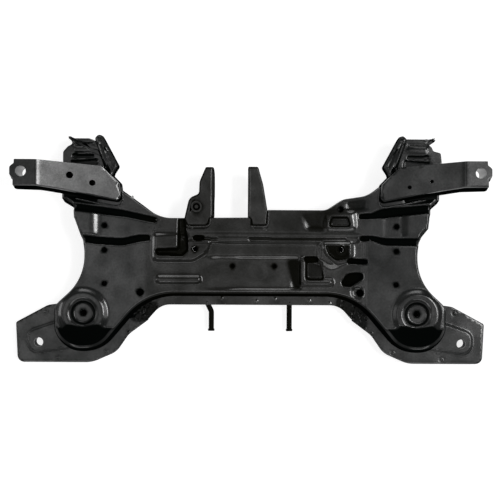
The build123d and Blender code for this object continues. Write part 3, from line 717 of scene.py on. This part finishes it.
# %% Press the corner plates
CORNER_PLATE = [
    (-384, -108.5, 3), (-400, -110.5, 30), (-464, -145, 6), (-460, -224, 14),
    (-312, -224, 60), (-264, -203, 40), (-240, -168, 40), (-201, -139, 2),
    (-213, -92, 2), (-262, -126, 60), (-292, -178, 50), (-366, -178, 40),
    (-366, -108.5, 3),
]
TONGUE = [
    (-380, -142, 3), (-441, -163, 20), (-438, -207, 20), (-356, -196, 3),
    (-376, -160, 3),
]
SPOTS = [(-405, -124), (-380, -216), (-284, -203), (-240, -164)]
TONGUE_RISE = 4.0
CORNER_ROLL = ((0.0, 0.0), (0.25, 0.55), (0.9, 1.0))
corner_top = FLANGE + SHEET
corner_plates = []
for side, name in SIDES:
    field = Heights(*span(side, 480, 190, -240, -80), corner_top)
    field.step(sided(TONGUE, side), TONGUE_RISE, 1.2)
    field.z = np.minimum(field.z, corner_top + TONGUE_RISE)
    for x, y in SPOTS:
        field.dish((side * x, y), [(0, 1.5), (1.5, 1.2), (3, 0), (4.2, -0.5), (6, 0)])
    rough_patch(field, PATCHES[0] if side == 1 else PATCHES[1], 11)
    plate = pressed("corner_plate_" + name, sided(CORNER_PLATE, side), field,
                    [((side * -418, -184), 18)], CORNER_ROLL, lambda x, y: corner_top - 0.9)
    corner_plates.append(plate)
    print(plate.name, len(plate.data.polygons), "faces")

# %% [markdown]
# Each arm is a channel that climbs from the deck to its tip and is flat round the bolt.
# Its heights depend on x alone: a ramp, a rounded bend and a level end. The walls run
# down to the deck at the root and to a slanting lower edge under the tip.

# %% Press the arms
ARM_ROOT = 80.0
ARM_TIP = 150.0
ARM = [
    (-442, 168, 1.5), (-442.5, 160, 2), (-450.5, 154, 7), (-450.5, 137, 7),
    (-444, 131, 2), (-444.5, 118, 1.5), (-402, 118, 40),
    (-360, 112, 60), (-256, 92.5, 6), (-250, 100, 10), (-253, 127, 8),
    (-285, 160, 14), (-402, 168, 60),
]


def arm_foot(x, y):
    """The height of an arm's lower edge."""
    x = -abs(x)
    if x < -362.0:
        return 62.0 + (-362.0 - x) * 0.61
    return 60.0 if y > 148.0 and x < -284.0 else 46.0


def arm_lean(places, outward):
    """The rear wall of an arm flares to its foot; the other walls stand upright."""
    return 0.25 + 0.75 * np.clip(-outward[:, 1] / 0.6, 0, 1)


ARM_ROLL = (
    (-5.0, 0.0), (-3.4, 0.25), (-1.8, 0.5), (-0.6, 0.7), (-0.1, 0.8), (0.4, 0.88), (1.0, 0.945),
    (1.9, 0.985), (3.0, 1.0), (4.5, 1.0),
)
arm_holes = {
    "left": [((-429, 145), 20), ((-342, 140), 13), ((-302, 126.5), 11.5)],
    "right": [((429, 145), 20), ((342, 131), 7), ((303, 121), 7.5)],
}
arms = []
for side, name in SIDES:
    field = Heights(*span(side, 470, 235, 80, 180), 0.0)
    ramp = np.interp(np.abs(field.xs), (235, 250, 394, 401, 480),
                     (73.0, ARM_ROOT, ARM_TIP - 2.9, ARM_TIP, ARM_TIP))
    field.z = field.blur(np.tile(ramp, (field.shape[0], 1)), 1.3)
    arm = pressed("mount_arm_skin_" + name, sided(ARM, side), field, arm_holes[name], ARM_ROLL,
                  arm_foot, fine=2.0, lean=arm_lean)
    arms.append(arm)
    print(arm.name, len(arm.data.polygons), "faces")

# %% [markdown]
# The control arm brackets and the slanted supports are thicker plate. They use the same
# function: the cap is the web, and the height of the foot says how far the wall hangs down
# at each place of the edge, so ears grow out of the web. The right bracket is not quite
# the left one mirrored, so it has its own outline.

# %% Press the brackets and supports
PLATE = 3.5
BRACKET = 62.0
BRACKET_LEFT = [
    (-303, 212.5, 4), (-316, 217.5, 6), (-347, 217.5, 3), (-352, 219.5, 2), (-358.5, 223.3, 1),
    (-354, 214, 3), (-345, 207, 4), (-357, 200, 8), (-366, 190, 9), (-366, 154, 3),
    (-284, 154, 3), (-284, 166, 8), (-299, 209, 3),
]
BRACKET_RIGHT = [
    (298, 209, 3), (284, 166, 8), (284, 154, 3), (372, 154, 3), (372, 174, 10),
    (370, 190.5, 4), (356, 194, 4), (352, 202, 6), (345, 208, 3), (357, 214, 3),
    (362, 223.3, 1), (357, 219.5, 2), (350, 218.5, 3), (300, 218.5, 3),
]
# Each form is an outline, a rise, a bend radius and how much shade is painted in it.
BRACKET_FORMS = [
    ([(-346, 186, 4), (-350, 175, 4), (-340, 177, 6), (-305, 178.5, 3), (-305, 184, 3),
      (-335, 183.5, 6)], -3.5, 1, 0.8),
    ([(-350, 172, 3), (-350, 160, 3), (-297, 160, 3), (-299, 176, 3)], -3, 1.6, 0.75),
    ([(-345, 206.5, 3), (-345, 202, 3), (-306, 203.5, 3), (-306, 207.5, 3)], -2.5, 1.2, 0.3),
    ([(-340, 200, 3), (-352, 192, 6), (-340, 189, 6), (-305, 191, 3), (-305, 199, 3)],
     1.6, 1.4, 0),
]
SUPPORT_EDGE = [
    (-301, 216, 3), (-296, 220.5, 3), (-291.5, 219.5, 3), (-287.5, 213.5, 4),
    (-259.5, 161.5, 3), (-267.5, 149, 3), (-272, 134, 2), (-284, 134, 2),
    (-284, 166, 8), (-299, 209, 6),
]
# Outline, rise, radius and painted shade, as for the brackets.
SUPPORT_FORMS = [
    ([(-281, 198, 2), (-264.5, 164, 2), (-268, 157, 2), (-283, 190, 3)], -1.8, 1.2, 0.3),
    ([(-297.5, 208, 1.5), (-285, 168, 6), (-276, 150, 2), (-273.5, 152, 2), (-282.5, 169, 6),
      (-294.5, 208, 1.5)], -4, 0.7, 1),
]
PLATE_ROLL = ((0.0, 0.0), (0.15, 0.5), (0.4, 0.8), (0.9, 0.93), (1.8, 0.985), (3.0, 1.0), (4.2, 1.0))


def bracket_foot(x, y):
    """The height of a bracket's lower edge: low along the ears, high along the web."""
    x = -abs(x)
    if y > 212.0 or y < 157.0:
        return float(np.interp(x, (-373, -364, -354, -326, -312, -300), (60, 50, 4, 4, 10, 20)))
    return 24.0 if x > -300.0 else BRACKET - 1.5


brackets, supports = [], []
for side, name in SIDES:
    # The right bracket's forms are shallower and get less painted shade.
    share = 1.0 if side == 1 else 0.6
    web = Heights(*span(side, 380, 240, 120, 235), BRACKET)
    for outline, rise, radius, shade_amount in BRACKET_FORMS:
        web.step(sided(outline, side), rise * share, radius, shade_amount=shade_amount * share)
    brackets.append(pressed("control_bracket_" + name, BRACKET_LEFT if side == 1 else BRACKET_RIGHT,
                            web, (), PLATE_ROLL, bracket_foot, thickness=PLATE))
    wedge = Heights(*span(side, 380, 240, 120, 235), 66.0)
    for outline, rise, radius, shade_amount in SUPPORT_FORMS:
        wedge.step(sided(outline, side), rise, radius, shade_amount=shade_amount)
    supports.append(pressed("support_skin_" + name, sided(SUPPORT_EDGE, side), wedge, (),
                            PLATE_ROLL, lambda x, y: 48.0, thickness=3.0))
print("plates", [piece.name for piece in brackets + supports])

# %% [markdown]
# The two ears of the roll stop lie on the deck with pressed feet. The edges that face each
# other hang down as walls, which hold the roll stop's rubber between them, so only there
# does the foot drop below the deck.

# %% Press the ears of the roll stop
EAR_TOP = 68.8
COLLAR = (-105.0, 83.5)
EAR_LEFT = [
    (-87.5, 161, 3), (-99.5, 133, 20), (-100.5, 109, 8), (-119.5, 101, 16),
    (-129, 60, 8), (-122, 47, 3), (-84, 47, 8), (-80, 60, 6), (-71.5, 64, 1),
    (-71.5, 161, 3),
]
EAR_RIGHT = [
    (-5.5, 162, 3), (-5.5, 64, 1), (1, 60, 4), (3, 48, 3), (31, 48, 3), (33, 76, 10),
    (24.5, 127, 40), (14.5, 162, 4),
]
EAR_ROLL = (
    (0.0, 0.0), (0.2, 0.5), (0.6, 0.8), (1.4, 0.9), (2.6, 0.96), (4.2, 0.99), (5.6, 1.0), (6.8, 1.0),
)


def ear_foot(x, y):
    """The height of an ear's lower edge, which drops along the wall beside the roll stop."""
    if not (-75.0 < x < -70.0 or -6.0 < x < -4.0):
        return 64.5
    return float(np.interp(y, (44, 62, 66, 96, 108, 125, 146, 154, 161),
                           (60, 40, 26, 20, 6, 4, 8, 24, 63)))


left_ear = Heights((-140, 30), (-60, 175), EAR_TOP)
# No rise, only painted shade: the coat round the collar loses its gloss.
left_ear.step(block(-119, 69, -91, 99, 13), 0.0, 0.8, shade_amount=0.9)
right_ear = Heights((-15, 30), (45, 175), EAR_TOP)
ears = [
    pressed("roll_ear_left", EAR_LEFT, left_ear, [(COLLAR, 20.5)], EAR_ROLL, ear_foot, fine=3.0,
            thickness=PLATE),
    pressed("roll_ear_right", EAR_RIGHT, right_ear, (), EAR_ROLL, ear_foot, fine=3.0, thickness=PLATE),
]
print("ears", [piece.name for piece in ears])

# %% [markdown]
# Turned pieces come from a half profile walked round an axis. The collar on the left ear is
# a flanged nut with the end of a stud in it. Dark discs without gloss sit under the weld
# nuts, so that a look into a hole ends in painted shade instead of on the floor.


# %% Turn the collar and the discs of painted shade
def turned(rows, place, profile, count=48):
    """Adds a solid of revolution: profile is pairs of radius and height, from axis to axis."""
    verts, faces = rows
    first = len(verts)
    ring = [(cos(2 * pi * i / count), sin(2 * pi * i / count)) for i in range(count)]
    for radius, height in profile:
        verts += [(place[0] + radius * c, place[1] + radius * k, height) for c, k in ring]
    for k in range(len(profile) - 1):
        a, b = first + k * count, first + (k + 1) * count
        faces += [(a + i, a + (i + 1) % count, b + (i + 1) % count, b + i) for i in range(count)]


def solid(name, build):
    """One closed object from whatever the builder adds to empty rows."""
    verts, faces = [], []
    build((verts, faces))
    obj = sheet_object(name, verts, faces, [0.0] * len(verts), 0.0, merge=0.01)
    shell = bmesh.new()
    shell.from_mesh(obj.data)
    bmesh.ops.recalc_face_normals(shell, faces=shell.faces)
    shell.to_mesh(obj.data)
    shell.free()
    return obj


COLLAR_PROFILE = [
    (0, 58), (10.5, 58), (11, 58.6), (11, 72), (10.2, 73), (8, 73.2), (7, 72.4), (6.4, 70.5),
    (6.4, 61), (4.2, 61), (4.2, 70.5), (3.4, 71.3), (0, 71.3),
]
HOLE_SHADE_DISCS = ((GEAR_HOLES, 5.1), (CUPS, 5.6), (STABILISER_HOLES, 8.5), (CENTRE_HOLES, 6.0))


def hole_shade_disc_forms(rows):
    for places, radius in HOLE_SHADE_DISCS:
        for place in places:
            turned(rows, place, [(0, 44), (radius, 44), (radius, 46), (0, 46)], 24)


def set_painted_shade(obj, values):
    """Writes the matt attribute, one value for every vertex."""
    obj.data.attributes["painted_shade"].data.foreach_set("value", np.array(values, np.float32))


collar = solid("collar_form", lambda rows: turned(rows, COLLAR, COLLAR_PROFILE))
hole_shade_discs = solid("hole_shade_disc_forms", hole_shade_disc_forms)
places = [vertex.co / MM for vertex in collar.data.vertices]
# The collar's bore below its top gets painted shade.
set_painted_shade(collar, [dist(place[:2], COLLAR) < 6.6 and place[2] < 68.0 for place in places])
set_painted_shade(hole_shade_discs, [1.0] * len(hole_shade_discs.data.vertices))
print("turned", collar.name, hole_shade_discs.name)

# %% [markdown]
# The whole part is dip coated after welding, so every piece has one satin black. A painted
# picture of the coat would not follow the shape. The coat is made of nodes on object
# coordinates: its colour hardly varies, and what the eye reads is gloss and orange peel.


# %% The black dip coat
OLIVE_BLACK = (0.0028, 0.0028, 0.0016, 1)
GREEN_BLACK = (0.0019, 0.0026, 0.0023, 1)


def maths(tree, operation, *values, clamp=False):
    """One Math node; a value is a float or another node's output."""
    made = tree.nodes.new("ShaderNodeMath")
    made.operation = operation
    made.use_clamp = clamp
    for place, value in zip(made.inputs, values):
        if isinstance(value, float):
            place.default_value = value
        else:
            tree.links.new(value, place)
    return made.outputs[0]


def dip_coat(name, rough=0.15, gloss=0.5, peel=0.04):
    """A satin black coat, which loses its gloss where the attribute of painted shade is 1, so shade is
    painted there.
    """
    mat = bpy.data.materials.new(name)
    mat.use_nodes = True
    tree = mat.node_tree
    nodes, links = tree.nodes, tree.links
    shader = nodes["Principled BSDF"]
    place = nodes.new("ShaderNodeTexCoord").outputs["Object"]

    def noise(scale, detail):
        made = nodes.new("ShaderNodeTexNoise")
        made.inputs["Scale"].default_value = scale
        made.inputs["Detail"].default_value = detail
        links.new(place, made.inputs["Vector"])
        return made.outputs["Fac"]

    def spread(value, low, high, start=0.0, stop=1.0):
        made = nodes.new("ShaderNodeMapRange")
        for key, number in (("From Min", start), ("From Max", stop), ("To Min", low), ("To Max", high)):
            made.inputs[key].default_value = number
        links.new(value, made.inputs["Value"])
        return made.outputs["Result"]

    # The coat is black with a trace of green, and a trace of olive in the warm middle.
    apart = nodes.new("ShaderNodeSeparateXYZ")
    links.new(place, apart.inputs[0])
    from_middle = maths(tree, "ABSOLUTE", apart.outputs["X"])
    tone = nodes.new("ShaderNodeMix")
    tone.data_type = "RGBA"
    tone.inputs["A"].default_value = OLIVE_BLACK
    tone.inputs["B"].default_value = GREEN_BLACK
    links.new(spread(from_middle, 0.0, 1.0, 0.17, 0.23), tone.inputs["Factor"])
    links.new(tone.outputs["Result"], shader.inputs["Base Color"])
    # Clouds of three sizes make the gloss uneven; places of painted shade lose it altogether.
    small = spread(noise(330.0, 1.0), 0.82, 1.18, 0.3, 0.7)
    clouds = maths(tree, "MULTIPLY", spread(noise(28.0, 2.0), 0.72, 1.28, 0.3, 0.7), small)
    clouds = maths(tree, "MULTIPLY", clouds, spread(noise(9.0, 1.0), 0.8, 1.2, 0.35, 0.65))
    painted_shade = nodes.new("ShaderNodeAttribute")
    painted_shade.attribute_name = "painted_shade"
    shine = maths(tree, "MULTIPLY", clouds, spread(painted_shade.outputs["Fac"], gloss, 0.0))
    links.new(shine, shader.inputs["Specular IOR Level"])
    links.new(spread(noise(14.0, 3.0), rough - 0.02, rough + 0.03), shader.inputs["Roughness"])
    bump = nodes.new("ShaderNodeBump")
    bump.inputs["Strength"].default_value = peel
    bump.inputs["Distance"].default_value = 0.0004
    links.new(noise(900.0, 2.0), bump.inputs["Height"])
    links.new(bump.outputs["Normal"], shader.inputs["Normal"])
    return mat


coats = {
    "panel_black": dip_coat("panel_black"),
    "bracket_black": dip_coat("bracket_black", 0.22),
    "tube_black": dip_coat("tube_black", 0.28),
    # The last coat is the same black with almost no gloss, a copy for painted shade.
    "nut_black": dip_coat("nut_black", 0.5, 0.03),
}
# Nodes in holes and under the panel get the coat without gloss, which paints shade on them.
SHADED_NODES = ("hanger", "rear_sleeve", "steering_gear", "cup_nut", "stabiliser", "centre_nuts")
for name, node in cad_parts.items():
    coat = "nut_black" if name.startswith(SHADED_NODES) else "tube_black"
    node.data.materials.clear()
    node.data.materials.append(coats[coat])
print("coats", list(coats))

# %% [markdown]
# A weld bead is a row of overlapping drops, one for every beat of the torch. Geometry Nodes
# walks along a line, sets a flattened ball at every step and varies its size a little. A
# swept tube would look like cord. The result is turned into plain mesh, because it has to
# travel with the part.


# %% A tree that lays a weld bead
def socket(group, name, kind, value):
    made = group.interface.new_socket(name, in_out="INPUT", socket_type=kind)
    if value is not None:
        made.default_value = value
    return made.identifier


def bead_tree():
    group = bpy.data.node_groups.new("weld_bead", "GeometryNodeTree")
    group.interface.new_socket("Geometry", in_out="INPUT", socket_type="NodeSocketGeometry")
    group.interface.new_socket("Geometry", in_out="OUTPUT", socket_type="NodeSocketGeometry")
    ids = {"Step": socket(group, "Step", "NodeSocketFloat", 0.0016),
           "Width": socket(group, "Width", "NodeSocketFloat", 0.0024),
           "Coat": socket(group, "Coat", "NodeSocketMaterial", None)}
    nodes, links = group.nodes, group.links
    start, end = nodes.new("NodeGroupInput"), nodes.new("NodeGroupOutput")
    to_curve = nodes.new("GeometryNodeMeshToCurve")
    steps = nodes.new("GeometryNodeResampleCurve")
    steps.mode = "LENGTH"
    ball = nodes.new("GeometryNodeMeshIcoSphere")
    ball.inputs["Subdivisions"].default_value = 2
    vary = nodes.new("FunctionNodeRandomValue")
    vary.data_type = "FLOAT_VECTOR"
    vary.inputs[0].default_value = (0.85, 0.85, 0.55)
    vary.inputs[1].default_value = (1.15, 1.15, 0.75)
    vary.inputs["Seed"].default_value = 3
    place = nodes.new("GeometryNodeInstanceOnPoints")
    real = nodes.new("GeometryNodeRealizeInstances")
    coat = nodes.new("GeometryNodeSetMaterial")
    links.new(start.outputs["Geometry"], to_curve.inputs["Mesh"])
    links.new(to_curve.outputs["Curve"], steps.inputs["Curve"])
    links.new(start.outputs["Step"], steps.inputs["Length"])
    links.new(start.outputs["Width"], ball.inputs["Radius"])
    links.new(steps.outputs["Curve"], place.inputs["Points"])
    links.new(ball.outputs["Mesh"], place.inputs["Instance"])
    links.new(vary.outputs["Value"], place.inputs["Scale"])
    links.new(place.outputs["Instances"], real.inputs["Geometry"])
    links.new(real.outputs["Geometry"], coat.inputs["Geometry"])
    links.new(start.outputs["Coat"], coat.inputs["Material"])
    links.new(coat.outputs["Geometry"], end.inputs["Geometry"])
    return group, ids


BEAD, BEAD_IDS = bead_tree()
print("bead inputs", list(BEAD_IDS))

# %% [markdown]
# Beads run round the arms' feet, along the ears' edges and on the hanger rods. Spatter is
# the same bead in pieces of less than a millimetre, scattered beside the seams.


# %% Weld beads along lines
def weld(name, lines, width, coat):
    """A bead along every line; lines are lists of points in millimetres."""
    verts, edges = [], []
    for line in lines:
        first = len(verts)
        verts += [tuple(c * MM for c in point) for point in line]
        edges += [(first + i, first + i + 1) for i in range(len(line) - 1)]
    mesh = bpy.data.meshes.new(name)
    mesh.from_pydata(verts, edges, [])
    obj = bpy.data.objects.new(name, mesh)
    bpy.context.collection.objects.link(obj)
    modifier = obj.modifiers.new("Bead", "NODES")
    modifier.node_group = BEAD
    modifier[BEAD_IDS["Step"]] = 0.65 * width * MM
    modifier[BEAD_IDS["Width"]] = width * MM
    modifier[BEAD_IDS["Coat"]] = coats[coat]
    bake(obj)
    obj.data.shade_smooth()
    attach(obj, "root")
    return obj


ARM_SEAM = [
    (-338, 98.5, 67), (-300, 90.5, 67), (-262, 83.5, 66.5), (-252, 86, 66.5), (-248.5, 96, 66.5),
    (-249.5, 108, 66.5), (-253, 120, 66),
]
EAR_SEAMS = [
    [(-77.5, 61, 67), (-79, 50, 67), (-86, 45, 67), (-121, 44.5, 67)],
    [(1.5, 45.5, 67), (31, 45.5, 67), (34.5, 52, 67), (35.5, 76, 67)],
]
ROD_SEAMS = [[(-85.5, -104, 26), (-85.5, -108, 25)], [(79.5, -104, 26), (79.5, -108, 25)]]
SPATTER = ((-176, 50, 8), (5, 43, 5), (27, 42, 4), (-118, 42, 6), (-190, 40, 8))
SPATTER_HEIGHT = 66.2
scatter = np.random.default_rng(5)
drops = []
for x, y, reach in SPATTER:
    for dx, dy in scatter.uniform(-reach, reach, (7, 2)):
        drops.append([(x + dx, y + dy, SPATTER_HEIGHT), (x + dx + 0.8, y + dy, SPATTER_HEIGHT)])
beads = [
    weld("spatter", drops, 1.6, "panel_black"),
    weld("arm_beads_left", [ARM_SEAM], 2.2, "panel_black"),
    weld("arm_beads_right", [[(-x, y, z) for x, y, z in ARM_SEAM]], 2.2, "panel_black"),
    weld("ear_beads", EAR_SEAMS, 2.0, "bracket_black"),
    weld("rod_beads", ROD_SEAMS, 1.8, "tube_black"),
]
print("weld beads", sum(len(bead.data.polygons) for bead in beads), "faces")

# %% [markdown]
# Each dressed piece now takes the place of its solid. The solid stays in the model for
# its size and its collisions, and the piece rides on the same body.


# %% Put the pieces on the frame
def dress(piece, node, coat):
    piece.data.materials.clear()
    piece.data.materials.append(coats[coat])
    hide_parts(node)
    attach(piece, "root")


dress(upper_panel, "upper_panel", "panel_black")
dress(lower_panel, "lower_panel", "panel_black")
for i, name in enumerate(("left", "right")):
    dress(corner_plates[i], "rear_corner_plate_" + name, "bracket_black")
    dress(arms[i], "mount_arm_" + name, "panel_black")
    dress(brackets[i], "control_arm_bracket_" + name, "bracket_black")
    dress(supports[i], "arm_support_" + name, "bracket_black")
    dress(ears[i], "roll_bracket_" + name, "bracket_black")
dress(collar, "roll_bracket_collar", "tube_black")
hole_shade_discs.data.materials.append(coats["nut_black"])
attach(hole_shade_discs, "root")

# %% [markdown]
# The camera hangs two metres above the part and looks straight down, as the photograph
# was taken. A slight shift and turn bring the part to the same place in the picture.

# %% Camera
scene = bpy.context.scene
camera = bpy.data.objects.new("camera", bpy.data.cameras.new("camera"))
scene.collection.objects.link(camera)
camera.location = (-0.0007, 0.0, 2.05)
camera.rotation_euler = (0, 0, radians(0.3))
camera.data.sensor_width = 36.0
camera.data.lens = 73.5
scene.camera = camera
print("camera lens", camera.data.lens)

# %% [markdown]
# A black part shows what it mirrors. Soft panels of light stand where its faces and bends
# look: faint ones overhead for the level sheet, stronger ones low down, so that bends
# glint and steep walls stay dark. Point lamps would only make hard spots.


# %% Lamps
def soft_box(name, along_x, along_y, far, size, brightness):
    """A lit panel seen under two angles from straight above; brightness is its radiance."""
    lamp = bpy.data.lights.new(name, "AREA")
    lamp.shape = "RECTANGLE"
    lamp.size, lamp.size_y = size
    lamp.energy = 4 * size[0] * size[1] * brightness
    obj = bpy.data.objects.new(name, lamp)
    scene.collection.objects.link(obj)
    aim = Vector((tan(radians(along_x)), tan(radians(along_y)), 1.0)).normalized()
    obj.location = aim * far
    obj.rotation_euler = Vector((0, 0, 1)).rotation_difference(aim).to_euler()
    return obj


# Overhead, for the decks, the sunk middle and the slanted faces of the arms
soft_box("top", -1, -2.5, 5.0, (4.2, 1.5), 0.25)
soft_box("top_rear", 0, -9, 5.0, (4.2, 1.0), 0.3)
soft_box("top_left", -15, -2, 5.0, (1.7, 2.4), 0.35)
soft_box("tip", 17.5, 9.5, 5.0, (0.9, 0.8), 2.0)
# To the right, left, rear and front, for the bends and the walls
soft_box("strip", 28, 5, 5.6, (0.6, 2.4), 17.0)
soft_box("key", 42, 0, 6.4, (1.8, 3.2), 2.1)
soft_box("rear", 0, -30, 5.5, (4.0, 0.9), 2.2)
soft_box("left", -42, 0, 6.4, (2.0, 3.2), 0.7)
soft_box("left_low", -62, 5, 5.0, (0.8, 2.0), 3.5)
soft_box("front", 0, 50, 5.5, (4.0, 1.2), 2.5)
print("lamps", len(bpy.data.lights))

# %% [markdown]
# The world is dim for the light that falls on the part, and white where the camera looks
# straight at it. Mirrored rays see a band that is brighter near the horizon, as the white
# walls of a studio are, so walls and tubes get a soft edge.

# %% World
BACKDROP = 1.0
FILL = 0.14
BAND = 0.12
world = bpy.data.worlds.new("studio")
scene.world = world
world.use_nodes = True
tree = world.node_tree
background = tree.nodes["Background"]
background.inputs["Color"].default_value = (1, 1, 1, 1)
rays = tree.nodes.new("ShaderNodeLightPath")
sky = tree.nodes.new("ShaderNodeTexCoord")
height = tree.nodes.new("ShaderNodeSeparateXYZ")
tree.links.new(sky.outputs["Generated"], height.inputs[0])
low_down = maths(tree, "MULTIPLY_ADD", height.outputs["Z"], -1.3, 0.7, clamp=True)
band = maths(tree, "MULTIPLY_ADD", low_down, 1.0, BAND, clamp=True)
level = maths(tree, "MULTIPLY_ADD", rays.outputs["Is Glossy Ray"], band, FILL, clamp=True)
level = maths(tree, "MULTIPLY_ADD", rays.outputs["Is Camera Ray"], BACKDROP - FILL, level, clamp=True)
tree.links.new(level, background.inputs["Strength"])
print("world", world.name, "fill", FILL)

# %% [markdown]
# The floor is grey for the light, so that it throws little back on the part and keeps its
# shadow. A glow that only camera, mirrored and transmitted rays see makes it white.

# %% Floor
FLOOR_GREY = 0.4
FLOOR_GLOW = 0.8
HALF = 6.0
DROP = -0.0005
floor_corners = [(-HALF, -HALF, DROP), (HALF, -HALF, DROP), (HALF, HALF, DROP), (-HALF, HALF, DROP)]
floor_mesh = bpy.data.meshes.new("floor")
floor_mesh.from_pydata(floor_corners, [], [(0, 1, 2, 3)])
floor = bpy.data.objects.new("floor", floor_mesh)
scene.collection.objects.link(floor)
white = bpy.data.materials.new("white_floor")
white.use_nodes = True
tree = white.node_tree
paint = tree.nodes["Principled BSDF"]
paint.inputs["Base Color"].default_value = (FLOOR_GREY, FLOOR_GREY, FLOOR_GREY, 1)
paint.inputs["Roughness"].default_value = 0.9
rays = tree.nodes.new("ShaderNodeLightPath")
shown = rays.outputs["Is Camera Ray"]
for kind in ("Is Glossy Ray", "Is Transmission Ray"):
    shown = maths(tree, "ADD", shown, rays.outputs[kind])
glow = tree.nodes.new("ShaderNodeEmission")
tree.links.new(maths(tree, "MULTIPLY", shown, FLOOR_GLOW), glow.inputs["Strength"])
both = tree.nodes.new("ShaderNodeAddShader")
tree.links.new(paint.outputs[0], both.inputs[0])
tree.links.new(glow.outputs[0], both.inputs[1])
tree.links.new(both.outputs[0], tree.nodes["Material Output"].inputs["Surface"])
floor.data.materials.append(white)
scene.view_settings.view_transform = "Standard"
print("floor", floor.name)
